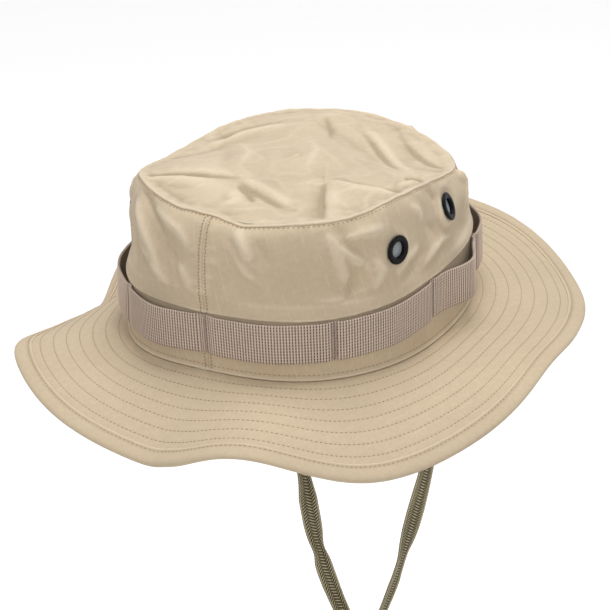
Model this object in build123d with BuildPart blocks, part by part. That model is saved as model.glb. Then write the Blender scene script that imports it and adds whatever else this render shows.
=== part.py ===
from build123d import *
import os
from math import atan2, copysign, cos, degrees, floor, pi, radians, sin, tan

# Boonie hat. Millimetres, +Z up, +Y towards the wearer's front, +X towards the wearer's right.
# The origin is the middle of the head opening, level with the seam between crown and brim.
# Angles run around the hat from the front (0) by the wearer's right (90) to the back (180).

# ---- the head opening, an oval between an ellipse and a rounded rectangle
head_length = 197.0
head_width = 170.0
oval_power = 2.5
seam_heights = (0, 0, -3, 1, 2.5, 0, 4, -1)  # the base seam's height at eight places around

# ---- cloth and clearances
cloth = 0.6
ply_cloth = 0.5
interlining_cloth = 0.4
ply_gap = 0.15
seat_gap = 0.3

# ---- crown
top_seam_heights = (81, 70, 82, 86, 85, 88, 74, 80)  # above the base seam's own level
top_seam_insets = (15, 10, 9, 4, 10, 12, 5, 13)  # how far the top seam stands in from the base seam
wall_lean = 1.0  # how far the wall's lower third is pulled outwards
wall_fullness = (-2, -2, -2, 3, 2, -8, -2, -2)  # how far its top is, with a third of the seam's inset added
wall_shoulder = 0.97  # share of the height at which the wall turns in to the seam
top_dome = 5.0
seam_tape_width = 9.0
seam_tape_thickness = 1.0
sweatband_height = 28.0
sweatband_thickness = 1.0

# ---- brim
brim_width = 63.5
brim_edge_heights = (7, 2, -11, -6, -3, -20, -32, -11, -28, -18, -5, -26, -35, -10, -6, 1)
brim_hollow = 0.42  # share of the drop that is reached half-way across the brim
binding_width = 9.5
binding_cloth = 0.5

# ---- webbing with its foliage loops
webbing_width = 22.0
webbing_thickness = 1.4
webbing_foot = 14.0  # from the base seam up to the webbing's lower edge
webbing_joint_gap = 0.6
tack_angles = (180, 137, 97, 56, 18, -18, -56, -97, -141, -180)
loop_bulges = (2, 2, 9, 4, 3, 3, 4, 6.5, 4)
tack_width = 2.0
tack_thickness = 0.5
tack_overhang = 1.5

# ---- screened vents
vent_angles = {"right_rear": 114.0, "right_front": 82.0, "left_front": -82.0, "left_rear": -114.0}
vent_heights = {"right_rear": 64.5, "right_front": 69.0, "left_front": 55.0, "left_rear": 61.0}
eyelet_radius = 7.7
eyelet_opening_radius = 4.4
eyelet_height = 1.5
barrel_wall = 0.8
barrel_clearance = 0.1
wall_hole_clearance = 0.2
washer_radius = 7.2
washer_thickness = 0.6
washer_clearance = 0.2
screen_thickness = 0.3
screen_depth = 0.9
screen_hole = 0.7
screen_pitch = 1.1

# ---- chin cord, a flat lace in one upright plane, and the slide on it
cord_plane_y = 30.0
cord_inset = 4.3  # from the base seam inwards to the lace
lace_width = 8.5
lace_thickness = 1.8
cord_pivot_z = -10.0
cord_end_above_pivot = 5.0
keeper_strand_pitch = 5.0
keeper_middle_x = 14.0
parallel_top_z = -238.0
parallel_bottom_z = -313.0
tab_thickness = 1.0
tab_width = 10.0
tab_below_pivot = 4.5
tack_pin_radius = 1.2
tack_pin_clearance = 0.05
tack_head_radius = 2.2
tack_head_thickness = 0.5
keeper_height = 12.0
keeper_wall = 2.4
keeper_rest_z = -262.0
keeper_edge_round = 1.6

os.makedirs("parts", exist_ok=True)


def around(values, angle):
    """Value at an angle, read smoothly from stations spaced evenly around the hat."""
    place = (angle % 360) / 360 * len(values)
    first = floor(place)
    t = place - first
    before, start, end, after = (values[(first + step) % len(values)] for step in (-1, 0, 1, 2))
    rise, fall = (end - before) / 2, (after - start) / 2
    bend = 2 * start - 2 * end + rise + fall
    return start + t * (rise + t * (-3 * start + 3 * end - 2 * rise - fall + t * bend))


def seam_plane(angle):
    """Upright plane square to the base seam: its x points outwards and its y points up."""
    across, along = sin(radians(angle)), cos(radians(angle))
    reach = (abs(across) ** oval_power + abs(along) ** oval_power) ** (-1 / oval_power)
    x, y = across * reach, along * reach
    outwards = Vector(
        copysign(abs(x) ** (oval_power - 1), x) / head_width,
        copysign(abs(y) ** (oval_power - 1), y) / head_length,
    )
    place = (x * head_width / 2, y * head_length / 2, around(seam_heights, angle))
    return Plane(origin=place, x_dir=outwards, z_dir=outwards.cross(Vector(0, 0, 1)))


def top_height(angle):
    """Height of the top seam above the base seam, both at the same angle."""
    return around(top_seam_heights, angle) - around(seam_heights, angle)


def wall_handles(angle):
    """The four points of the curve up the crown's outer face, from the base seam to the top seam."""
    height, inset = top_height(angle), around(top_seam_insets, angle)
    shoulder = (around(wall_fullness, angle) + inset / 3, wall_shoulder * height)
    return (0, 0), (wall_lean, height / 3), shoulder, (-inset, height)


def wall_reach(angle, height):
    """How far the crown's outer face stands out from the base seam at a height above it."""
    handles = wall_handles(angle)
    low, high = 0.0, 1.0
    for _ in range(40):
        t = (low + high) / 2
        weights = ((1 - t) ** 3, 3 * t * (1 - t) ** 2, 3 * t**2 * (1 - t), t**3)
        x, y = (sum(weight * handle[axis] for weight, handle in zip(weights, handles)) for axis in (0, 1))
        low, high = (t, high) if y < height else (low, t)
    return x


def spaced(start, end, count):
    """Evenly spaced angles, both ends among them."""
    return [start + (end - start) * step / count for step in range(count + 1)]


def wrap(profile, angles):
    """Loft one piece around the hat through the profile drawn at each angle."""
    with BuildPart() as piece:
        for angle in angles:
            with BuildSketch(seam_plane(angle)):
                with BuildLine():
                    profile(angle)
                make_face()
        loft()
    return piece.part


def closed_ring(profile, count):
    """A piece that runs all the way around, made as two halves that join front and back."""
    halves = [wrap(profile, spaced(start, start + 180, count)) for start in (0, 180)]
    with BuildPart() as ring:
        for half in halves:
            add(half)
    return ring.part


ring_sections = 24
brim_stack = 2 * ply_cloth + interlining_cloth + 2 * ply_gap

# ---- crown side: two curved panels that meet at the front and the back seam


def wall_profile(angle):
    handles = wall_handles(angle)
    outer = Bezier(*handles)
    inner = Bezier(*((x - cloth, y) for x, y in handles))
    foot = -brim_stack
    Polyline(outer @ 0, (0, foot), (-cloth, foot), inner @ 0)
    Line(inner @ 1, outer @ 1)


def vent_plane(name):
    """Plane on the crown's outer face at a vent: z points out of the hat, x runs around it."""
    angle, height = vent_angles[name], vent_heights[name]
    upright = seam_plane(angle)
    below, above = (wall_reach(angle, height + step) for step in (-1, 1))
    middle = upright.from_local_coords(Vector(wall_reach(angle, height), height, 0))
    outwards = upright.x_dir * 2 - upright.y_dir * (above - below)
    return Plane(origin=middle, x_dir=upright.z_dir, z_dir=outwards)


def vent_sag(name):
    """How far the curved wall falls away inwards from the vent's flat plane, within the washer."""
    turn = degrees(washer_radius / (head_width / 2))
    steps = ((0, washer_radius), (0, -washer_radius), (turn, 0), (-turn, 0))
    deepest = 0.0
    for aside, up in steps:
        angle, height = vent_angles[name] + aside, vent_heights[name] + up
        place = Vector(wall_reach(angle, height), height, 0)
        depth = vent_plane(name).to_local_coords(seam_plane(angle).from_local_coords(place)).Z
        deepest = max(deepest, -depth)
    return deepest


barrel_radius = eyelet_opening_radius + barrel_wall
vent_hole_radius = barrel_radius + wall_hole_clearance
side_panels = {"right": wrap(wall_profile, spaced(0, 180, 18)), "left": wrap(wall_profile, spaced(-180, 0, 18))}
for side, panel in side_panels.items():
    with BuildPart() as crown_side:
        add(panel)
        for name in vent_angles:
            if name.startswith(side):
                with BuildSketch(vent_plane(name)):
                    Circle(vent_hole_radius)
        extrude(amount=4 * cloth, both=True, mode=Mode.SUBTRACT)
    crown_side.part.label = f"crown_side_{side}"
    export_step(crown_side.part, f"parts/crown_side_{side}.step")

# ---- crown top: one oval panel, gently domed, sewn on along the top seam


def top_seam_point(angle, inwards, rise):
    """A point near the top seam, moved inwards along the cloth and up."""
    place = Vector(wall_reach(angle, top_height(angle)) - inwards, top_height(angle) + rise, 0)
    return seam_plane(angle).from_local_coords(place)


rim_points = [top_seam_point(angle, 0, ply_gap) for angle in range(0, 360, 15)]
middle = sum(rim_points, Vector(0, 0, 0)) / len(rim_points)
dome_points = [middle + Vector(0, 0, top_dome)]
for angle in range(0, 360, 45):
    half_way = (middle + top_seam_point(angle, 0, ply_gap)) / 2
    dome_points.append(half_way + Vector(0, 0, 0.75 * top_dome))
with BuildPart() as crown_top_panel:
    with BuildLine(mode=Mode.PRIVATE) as rim:
        Spline(*rim_points, periodic=True)
    panel_face = Face.make_surface(rim.line.edges(), dome_points)
    thicken(panel_face, amount=cloth, normal_override=Vector(0, 0, 1))
crown_top_panel.part.label = "crown_top_panel"
export_step(crown_top_panel.part, "parts/crown_top_panel.step")

# ---- tape over the raw edges of the top seam, inside the crown


def seam_tape_profile(angle):
    head = top_height(angle) - seat_gap
    outer = wall_reach(angle, top_height(angle)) - cloth - seat_gap
    Polyline(
        (outer, head),
        (outer - seam_tape_thickness, head),
        (outer - seam_tape_thickness, head - seam_tape_width),
        (outer, head - seam_tape_width),
        close=True,
    )


with BuildPart() as crown_seam_tape:
    add(closed_ring(seam_tape_profile, ring_sections))
crown_seam_tape.part.label = "crown_seam_tape"
export_step(crown_seam_tape.part, "parts/crown_seam_tape.step")

# ---- sweatband, sewn in at the base seam and standing up inside the crown


def sweatband_profile(angle):
    foot = -cloth - seat_gap
    head = foot + min(0, wall_reach(angle, sweatband_height))
    Polyline(
        (foot, 0),
        (foot - sweatband_thickness, 0),
        (head - sweatband_thickness, sweatband_height),
        (head, sweatband_height),
        close=True,
    )


with BuildPart() as sweatband:
    add(closed_ring(sweatband_profile, ring_sections))
sweatband.part.label = "sweatband"
export_step(sweatband.part, "parts/sweatband.step")

# ---- brim: an upper and a lower cloth ring with a stiffening ring between them


def brim_point(angle, depth, share):
    """A point at a share of the brim's width, a depth below its upper face."""
    drop = around(brim_edge_heights, angle)
    reach = (brim_width**2 - drop**2) ** 0.5
    bow = 4 * (brim_hollow - 0.5)
    return Vector(seat_gap + share * reach, drop * (share + bow * share * (1 - share)) - depth)


def brim_line(angle, depth, start, end):
    """The curve out along the brim between two shares of its width, a depth below its upper face."""
    first, last = brim_point(angle, depth, start), brim_point(angle, depth, end)
    handle = 2 * brim_point(angle, depth, (start + end) / 2) - (first + last) / 2
    return Bezier(first, handle, last)


def brim_ply(depth, thickness, end):
    """One closed cloth ring of the brim, a depth below the brim's upper face."""

    def profile(angle):
        upper = brim_line(angle, depth, 0, end)
        lower = brim_line(angle, depth + thickness, 0, end)
        Line(upper @ 0, lower @ 0)
        Line(upper @ 1, lower @ 1)

    return closed_ring(profile, ring_sections)


edge_share = 1 - (binding_cloth + seat_gap) / brim_width
brim_plies = {
    "brim_upper": (0, ply_cloth, edge_share),
    "brim_interlining": (ply_cloth + ply_gap, interlining_cloth, edge_share),
    "brim_lower": (brim_stack - ply_cloth, ply_cloth, edge_share),
}
for name, (depth, thickness, end) in brim_plies.items():
    with BuildPart() as brim_ring:
        add(brim_ply(depth, thickness, end))
    brim_ring.part.label = name
    export_step(brim_ring.part, f"parts/{name}.step")

# ---- bias binding folded over the brim's edge


def binding_profile(angle):
    inner_share = 1 - binding_width / brim_width
    inside_share = 1 - binding_cloth / brim_width
    top = brim_line(angle, -seat_gap - binding_cloth, inner_share, 1)
    under_top = brim_line(angle, -seat_gap, inner_share, inside_share)
    over_bottom = brim_line(angle, brim_stack + seat_gap, inner_share, inside_share)
    bottom = brim_line(angle, brim_stack + seat_gap + binding_cloth, inner_share, 1)
    Line(top @ 1, bottom @ 1)
    Line(bottom @ 0, over_bottom @ 0)
    Line(over_bottom @ 1, under_top @ 1)
    Line(under_top @ 0, top @ 0)


with BuildPart() as brim_binding:
    add(closed_ring(binding_profile, ring_sections))
brim_binding.part.label = "brim_binding"
export_step(brim_binding.part, "parts/brim_binding.step")

# ---- webbing: one strip around the crown, tacked down at intervals so that it forms loops


def loop_gap(angle):
    """How far the webbing's inner face stands off the crown: least at a tack, most between two."""
    turned = (angle + 180) % 360 - 180
    for first, last, bulge in zip(tack_angles, tack_angles[1:], loop_bulges):
        if last <= turned <= first:
            return seat_gap + bulge * sin(pi * (turned - last) / (first - last)) ** 2
    return seat_gap


def webbing_edge(angle, height, out):
    return (wall_reach(angle, height) + loop_gap(angle) + out, height)


webbing_head = webbing_foot + webbing_width


def webbing_profile(angle):
    Polyline(
        webbing_edge(angle, webbing_foot, 0),
        webbing_edge(angle, webbing_foot, webbing_thickness),
        webbing_edge(angle, webbing_head, webbing_thickness),
        webbing_edge(angle, webbing_head, 0),
        close=True,
    )


joint_angle = degrees(webbing_joint_gap / head_length)
webbing_angles = [180 - joint_angle]
for first, last in zip(tack_angles, tack_angles[1:]):
    webbing_angles += spaced(first, last, 6)[1:]
webbing_angles[-1] += joint_angle
front = webbing_angles.index(0)
webbing_halves = [wrap(webbing_profile, webbing_angles[: front + 1]), wrap(webbing_profile, webbing_angles[front:])]
with BuildPart() as foliage_webbing:
    for half in webbing_halves:
        add(half)
foliage_webbing.part.label = "foliage_webbing"
export_step(foliage_webbing.part, "parts/foliage_webbing.step")

# ---- thread bartacks that hold the webbing down, one each side of the joint at the back
joint_tack_angle = degrees(2 * tack_width / head_length)
bartack_angles = [180 - joint_tack_angle, *tack_angles[1:-1], joint_tack_angle - 180]
with BuildPart() as webbing_bartacks:
    for angle in bartack_angles:
        upright = seam_plane(angle)
        face = webbing_thickness + seat_gap
        corners = [
            webbing_edge(angle, webbing_foot, face),
            webbing_edge(angle, webbing_foot, face + tack_thickness),
            webbing_edge(angle, webbing_head + tack_overhang, face + tack_thickness),
            webbing_edge(angle, webbing_head + tack_overhang, face),
        ]
        with BuildSketch(upright):
            with BuildLine():
                Polyline(*corners, close=True)
            make_face()
    extrude(amount=tack_width / 2, both=True)
webbing_bartacks.part.label = "webbing_bartacks"
export_step(webbing_bartacks.part, "parts/webbing_bartacks.step")

# ---- screened vents: an eyelet through the wall, a washer behind it and a mesh screen across it
for name in vent_angles:
    face = vent_plane(name)
    washer_top = -vent_sag(name) - cloth - washer_clearance
    barrel_end = washer_top - washer_thickness - barrel_clearance
    with BuildPart() as eyelet:
        with BuildSketch(face.offset(seat_gap)):
            Circle(eyelet_radius)
            Circle(eyelet_opening_radius, mode=Mode.SUBTRACT)
        extrude(amount=eyelet_height)
        out_of_hat = Axis(face.origin, face.z_dir)
        fillet(eyelet.edges().group_by(out_of_hat)[-1], radius=0.45 * eyelet_height)
        with BuildSketch(face.offset(barrel_end)):
            Circle(barrel_radius)
            Circle(eyelet_opening_radius, mode=Mode.SUBTRACT)
        extrude(amount=seat_gap - barrel_end)
    eyelet.part.label = f"vent_eyelet_{name}"
    export_step(eyelet.part, f"parts/vent_eyelet_{name}.step")

    with BuildPart() as washer:
        with BuildSketch(face.offset(washer_top)):
            Circle(washer_radius)
            Circle(barrel_radius + barrel_clearance, mode=Mode.SUBTRACT)
        extrude(amount=-washer_thickness)
    washer.part.label = f"vent_washer_{name}"
    export_step(washer.part, f"parts/vent_washer_{name}.step")

    with BuildPart() as screen:
        with BuildSketch(face.offset(seat_gap + eyelet_height - screen_depth)):
            Circle(eyelet_opening_radius - barrel_clearance)
            with GridLocations(screen_pitch, screen_pitch, 5, 5):
                Rectangle(screen_hole, screen_hole, mode=Mode.SUBTRACT)
        extrude(amount=-screen_thickness)
    screen.part.label = f"vent_screen_{name}"
    export_step(screen.part, f"parts/vent_screen_{name}.step")

# ---- chin cord: one flat lace that hangs from two tabs and closes below its keeper
half_length, half_width = head_length / 2, head_width / 2
cord_seam_x = half_width * (1 - (cord_plane_y / half_length) ** oval_power) ** (1 / oval_power)
cord_seam_angle = degrees(atan2(cord_seam_x / half_width, cord_plane_y / half_length))
cord_end_x = cord_seam_x - cord_inset
left_strand_x = keeper_middle_x - keeper_strand_pitch / 2
right_strand_x = keeper_middle_x + keeper_strand_pitch / 2
cord_route = [
    (-cord_end_x, cord_pivot_z + cord_end_above_pivot),
    (-cord_end_x, -25),
    (-67, -54),
    (-44, -82),
    (-24, -112),
    (-20, -144),
    (-15, -175),
    (-5, -205),
    (left_strand_x, parallel_top_z),
    (left_strand_x, parallel_bottom_z),
    (-6, -341),
    (-6, -358),
    (5.5, -370),
    (22.5, -370),
    (34, -358),
    (34, -341),
    (right_strand_x, parallel_bottom_z),
    (right_strand_x, parallel_top_z),
    (32, -203),
    (43, -168),
    (51, -139),
    (60, -104),
    (68, -66),
    (cord_end_x, -28),
    (cord_end_x, cord_pivot_z + cord_end_above_pivot),
]
corner_radii = []
for before, corner, after in zip(cord_route, cord_route[1:], cord_route[2:]):
    arriving = Vector(*corner) - Vector(*before)
    leaving = Vector(*after) - Vector(*corner)
    half_turn = radians(arriving.get_angle(leaving) / 2)
    corner_radii.append(0.45 * min(arriving.length, leaving.length) / tan(half_turn))
print("chin cord radii:", [round(radius, 1) for radius in corner_radii])

cord_plane = Plane.XZ.offset(-cord_plane_y)
with BuildPart() as chin_cord:
    with BuildSketch(cord_plane):
        with BuildLine() as cord_line:
            FilletPolyline(*cord_route, radius=corner_radii)
        trace(line_width=lace_thickness)
    extrude(amount=lace_width / 2, both=True)
    with BuildSketch(Plane.YZ):
        with Locations((cord_plane_y, cord_pivot_z)):
            Circle(tack_pin_radius + tack_pin_clearance)
    extrude(amount=head_width, both=True, mode=Mode.SUBTRACT)
chin_cord.part.label = "chin_cord"
export_step(chin_cord.part, "parts/chin_cord.step")
cord_length = sum(edge.length for edge in cord_line.line.edges())
print("chin cord length:", round(cord_length, 1))
print("volume over section times length:", chin_cord.part.volume / (lace_width * lace_thickness * cord_length))

# ---- keeper: a leather slide on both strands of the lace
slot_length = lace_width + 2 * seat_gap
slot_width = lace_thickness + 2 * seat_gap
keeper_length = slot_length + 2 * keeper_wall
keeper_width = keeper_strand_pitch + slot_width + 2 * keeper_wall
with BuildPart() as keeper:
    with BuildSketch(Plane.XY.offset(keeper_rest_z - keeper_height / 2)):
        with Locations((keeper_middle_x, cord_plane_y)):
            RectangleRounded(keeper_width, keeper_length, keeper_wall)
    extrude(amount=keeper_height)
    fillet(keeper.edges().group_by(Axis.Z)[0] + keeper.edges().group_by(Axis.Z)[-1], keeper_edge_round)
    with BuildSketch(Plane.XY.offset(keeper_rest_z - keeper_height / 2)):
        with Locations((left_strand_x, cord_plane_y), (right_strand_x, cord_plane_y)):
            Rectangle(slot_width, slot_length)
    extrude(amount=keeper_height, mode=Mode.SUBTRACT)
keeper.part.label = "keeper"
export_step(keeper.part, "parts/keeper.step")

# ---- cloth tabs under the sweatband: the lace swings on a round thread tack in each
for side, sign in {"left": -1, "right": 1}.items():
    lace_outer_x = cord_end_x + lace_thickness / 2
    tab_inner_x = lace_outer_x + seat_gap
    pin_end_x = cord_end_x - lace_thickness / 2 - seat_gap
    across_tab = Plane.YZ.offset(sign * tab_inner_x)
    seam_angle = sign * cord_seam_angle
    tab_top_z = around(seam_heights, seam_angle) - seat_gap
    tab_bottom_z = cord_pivot_z - tab_below_pivot
    with BuildPart() as cord_tab:
        with BuildSketch(across_tab):
            with Locations((cord_plane_y, (tab_top_z + tab_bottom_z) / 2)):
                Rectangle(tab_width, tab_top_z - tab_bottom_z)
        extrude(amount=sign * tab_thickness)
        with BuildSketch(across_tab):
            with Locations((cord_plane_y, cord_pivot_z)):
                Circle(tack_pin_radius)
        extrude(amount=sign * (pin_end_x - tab_inner_x))
        with BuildSketch(Plane.YZ.offset(sign * pin_end_x)):
            with Locations((cord_plane_y, cord_pivot_z)):
                Circle(tack_head_radius)
        extrude(amount=-sign * tack_head_thickness)
    cord_tab.part.label = f"cord_tab_{side}"
    export_step(cord_tab.part, f"parts/cord_tab_{side}.step")
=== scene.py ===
from contextlib import contextmanager
from math import atan2, cos, degrees, pi, radians, sin

import bpy
import numpy as np
from mathutils import Matrix, Vector, noise
from mathutils.bvhtree import BVHTree


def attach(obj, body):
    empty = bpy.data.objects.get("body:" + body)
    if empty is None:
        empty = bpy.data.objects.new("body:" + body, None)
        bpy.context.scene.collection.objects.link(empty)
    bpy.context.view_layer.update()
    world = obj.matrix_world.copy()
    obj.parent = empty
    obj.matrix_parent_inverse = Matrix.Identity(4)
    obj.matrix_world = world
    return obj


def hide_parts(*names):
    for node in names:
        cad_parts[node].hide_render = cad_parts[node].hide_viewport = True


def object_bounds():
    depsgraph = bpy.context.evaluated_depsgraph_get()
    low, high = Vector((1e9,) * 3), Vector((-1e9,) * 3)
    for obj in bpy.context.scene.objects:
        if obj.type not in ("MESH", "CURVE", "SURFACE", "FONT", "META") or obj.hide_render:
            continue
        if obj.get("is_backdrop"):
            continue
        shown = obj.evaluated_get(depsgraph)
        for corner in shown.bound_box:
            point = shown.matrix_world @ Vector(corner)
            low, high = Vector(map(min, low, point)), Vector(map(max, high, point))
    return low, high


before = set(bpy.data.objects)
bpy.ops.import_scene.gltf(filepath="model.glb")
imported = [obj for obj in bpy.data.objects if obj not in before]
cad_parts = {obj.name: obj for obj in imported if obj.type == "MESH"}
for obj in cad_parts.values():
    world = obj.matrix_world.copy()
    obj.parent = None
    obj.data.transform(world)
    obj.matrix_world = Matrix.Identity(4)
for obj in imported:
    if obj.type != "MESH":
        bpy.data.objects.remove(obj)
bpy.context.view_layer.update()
mm = 0.001

# ---- Brim cloths
# The brim is two rings of ripstop cloth with a stiffener between them, quilted together by seven
# rows of lockstitch. Each row pulls the cloth down, and the cloth stands up a little between rows.

brim_width = 63.5
quilting_rows = [6.0, 13.2, 20.4, 27.6, 34.8, 42.0, 49.2]  # from the crown's seam outwards
brim_plies = {"brim_upper": (0.0, 0.5), "brim_interlining": (0.65, 0.4), "brim_lower": (1.2, 0.5)}
brim_stack = 1.7
brim_columns, brim_rows = 520, 80
quilt_dent, quilt_loft, dent_width = 0.07, 0.05, 0.75
edge_clearance = 0.9
off_inside, on_brim, off_cloth, off_binding = 0.06, 0.115, 0.20, 0.21  # reaches from the hat's middle
ripstop_pitch, ripstop_line, weave_pitch = 5.5, 0.45, 0.55
khaki = (0.630, 0.505, 0.345)
khaki_line = (0.740, 0.620, 0.450)
# Painted highlight and painted shade colours for the ridges and creases of the cloth.
khaki_painted_highlight = (0.830, 0.700, 0.520)
khaki_painted_shade = (0.350, 0.265, 0.165)


def corners_of(mesh):
    """The places of a mesh's corners."""
    return np.array([vertex.co for vertex in mesh.vertices])


def skin_of(*names):
    """A search tree over the faces of some CAD nodes, used to find where they lie."""
    points, faces = [], []
    for name in names:
        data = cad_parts[name].data
        start = len(points)
        points += [vertex.co.copy() for vertex in data.vertices]
        faces += [[start + index for index in face.vertices] for face in data.polygons]
    return BVHTree.FromPolygons(points, faces)


def heading(angle):
    """The level direction at an angle: 0 at the wearer's front, 90 at the wearer's right."""
    return Vector((sin(radians(angle)), cos(radians(angle)), 0))


def upright_line(angle, reaches, heights):
    """Points in the upright plane at an angle, from how far out and how high each one is."""
    return [(*(heading(angle) * reach).xy, height) for reach, height in zip(reaches, heights)]


def under(skin, angle, reach):
    """The point of a skin straight below a place in the plan, or None."""
    return skin.ray_cast(heading(angle) * reach + Vector((0, 0, 0.2)), Vector((0, 0, -1)))[0]


def edge_reach(skin, angle, hit, miss):
    """How far out a skin's edge lies, between a reach that meets it and one that doesn't."""
    for _ in range(14):
        middle = (hit + miss) / 2
        if under(skin, angle, middle) is None:
            miss = middle
        else:
            hit = middle
    return hit


def bell(away, width):
    """A soft bump, 1 where away is 0 and falling off over a width."""
    return np.exp(-((away / width) ** 2))


def unit(vectors):
    """The directions of some vectors."""
    return vectors / np.linalg.norm(vectors, axis=-1, keepdims=True)


def smooth_ring(values, passes=2):
    """Evens out a table of values around the hat, whose first and last columns are the same place."""
    ring = values[:, :-1]
    for _ in range(passes):
        ring = (np.roll(ring, 1, axis=1) + 2 * ring + np.roll(ring, -1, axis=1)) / 4
    return np.concatenate([ring, ring[:, :1]], axis=1)


def ring_table(lines, passes=2):
    """A smoothed table of points, with a row for each ring, from the lines at each angle."""
    return smooth_ring(np.array(lines).transpose(1, 0, 2), passes)


def normals_of(table, ring=True):
    """The direction square to the cloth at every point of a table of points."""
    if ring:
        wide = np.concatenate([table[:, -2:-1], table, table[:, 1:2]], axis=1)
        along = wide[:, 2:] - wide[:, :-2]
    else:
        along = np.gradient(table, axis=1)
    return unit(np.cross(along, np.gradient(table, axis=0)))


def raised(table, normals, lift):
    """A table of points moved along their normals by a table of millimetres."""
    return table + normals * (lift * mm)[:, :, None]


@contextmanager
def editing(select=None):
    """Edit mode for what is inside the block, begun with all selected, all deselected or as it was."""
    bpy.ops.object.mode_set(mode="EDIT")
    if select:
        bpy.ops.mesh.select_all(action=select)
    yield
    bpy.ops.object.mode_set(mode="OBJECT")


def lay_cloth(name, table, cloth, painted_shading=None, ring=True):
    """A flat grid of cloth laid on a table of points, with its grain kept in a UV map in metres."""
    rows, columns = table.shape[0] - 1, table.shape[1] - 1
    bpy.ops.object.select_all(action="DESELECT")
    bpy.ops.mesh.primitive_grid_add(x_subdivisions=columns, y_subdivisions=rows, size=1)
    piece = bpy.context.object
    piece.name = piece.data.name = name
    flat = corners_of(piece.data)
    column = np.rint((flat[:, 0] + 0.5) * columns).astype(int)
    row = np.rint((flat[:, 1] + 0.5) * rows).astype(int)
    piece.data.vertices.foreach_set("co", table[row, column].ravel())
    corners = np.empty(len(piece.data.loops), int)
    piece.data.loops.foreach_get("vertex_index", corners)
    piece.data.uv_layers.active.name = "Grain"
    piece.data.uv_layers.active.data.foreach_set("uv", cloth[row, column][corners].ravel())
    # The painted_shading table is kept as a point attribute: a painted highlight above 0 and painted shade
    # below 0.
    if painted_shading is not None:
        shading_layer = piece.data.attributes.new("painted_shading", "FLOAT", "POINT")
        shading_layer.data.foreach_set("value", painted_shading[row, column].astype(np.float32))
    if ring:
        with editing("SELECT"):
            bpy.ops.mesh.remove_doubles(threshold=1e-6)
    bpy.ops.object.shade_smooth()
    return piece


def give_thickness(piece, thickness):
    """Turns a laid sheet into cloth with two faces; the laid side stays where it is."""
    bpy.context.view_layer.objects.active = piece
    solid = piece.modifiers.new("thickness", "SOLIDIFY")
    solid.thickness = thickness * mm
    solid.offset = -1
    solid.use_quality_normals = True
    bpy.ops.object.modifier_apply(modifier=solid.name)


def declare(piece, material, stands_for=None, body="hat"):
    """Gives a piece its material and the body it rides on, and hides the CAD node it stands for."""
    piece.data.materials.append(material)
    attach(piece, body)
    if stands_for:
        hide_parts(stands_for)


def cloth_piece(name, stands_for, table, grain, thickness, material, painted_shading=None, ring=True):
    """A finished piece of cloth on the hat, its thickness in millimetres."""
    piece = lay_cloth(name, table, grain, painted_shading, ring)
    give_thickness(piece, thickness)
    declare(piece, material, stands_for)


def shader(name, roughness, inputs=None):
    """A new material, its node tree and its Principled shader."""
    material = bpy.data.materials.new(name)
    material.use_nodes = True
    principled = material.node_tree.nodes["Principled BSDF"]
    for key, value in {"Roughness": roughness, **(inputs or {})}.items():
        principled.inputs[key].default_value = value
    return material, material.node_tree, principled


def node(tree, kind, inputs=None, **settings):
    """A node with its settings, and its inputs set to values or linked to other sockets."""
    made = tree.nodes.new(kind)
    for key, value in settings.items():
        setattr(made, key, value)
    for key, value in (inputs or {}).items():
        if isinstance(value, bpy.types.NodeSocket):
            tree.links.new(value, made.inputs[key])
        else:
            made.inputs[key].default_value = value
    return made


def group(name, inputs, outputs):
    """An empty shader node group with float or vector sockets."""
    made = bpy.data.node_groups.new(name, "ShaderNodeTree")
    for sockets, side in ((inputs, "INPUT"), (outputs, "OUTPUT")):
        for socket, kind in sockets.items():
            made.interface.new_socket(socket, in_out=side, socket_type=f"NodeSocket{kind}")
    return made, made.nodes.new("NodeGroupInput").outputs, made.nodes.new("NodeGroupOutput").inputs


def math_node(tree, operation, *values, clamp=False):
    """One step of arithmetic; gives the socket that holds its result."""
    made = node(tree, "ShaderNodeMath", dict(enumerate(values)), operation=operation, use_clamp=clamp)
    return made.outputs[0]


def ranged(tree, value, start, end, low=0.0, high=1.0):
    """A value mapped from one range onto another, and held inside it."""
    return node(tree, "ShaderNodeMapRange", {0: value, 1: start, 2: end, 3: low, 4: high}).outputs[0]


def rgba(colour):
    """A colour ready for an input: a socket as it is, or three numbers made opaque."""
    return colour if isinstance(colour, bpy.types.NodeSocket) else (*colour, 1)


def mixed(tree, factor, first, second):
    """The colour part of the way from one colour to another."""
    inputs = {0: factor, 6: rgba(first), 7: rgba(second)}
    return node(tree, "ShaderNodeMix", inputs, data_type="RGBA").outputs[2]


def place_on(tree):
    """Where a point lies on the object, for textures that run through it."""
    return node(tree, "ShaderNodeTexCoord").outputs["Object"]


def drift_of(tree, fine):
    """The drift of a dye's depth, with a mottle of the given fineness."""
    inputs = {"Place": place_on(tree), "Fine": fine}
    return node(tree, "ShaderNodeGroup", inputs, node_tree=drift_group).outputs[0]


def dye(tree, principled, colour, fine, low, high):
    """Gives a shader its colour, darker and lighter between two levels as the dye drifts."""
    level = ranged(tree, drift_of(tree, fine), 0.3, 0.7, low, high)
    shade = node(tree, "ShaderNodeHueSaturation", {"Color": rgba(colour), "Value": level})
    tree.links.new(shade.outputs[0], principled.inputs["Base Color"])


def emboss(tree, principled, height, strength, depth):
    """Gives a shader its fine relief, from its height, its strength and its depth in millimetres."""
    bump = node(tree, "ShaderNodeBump", {"Height": height, "Strength": strength, "Distance": depth * mm})
    tree.links.new(bump.outputs[0], principled.inputs["Normal"])


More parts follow.
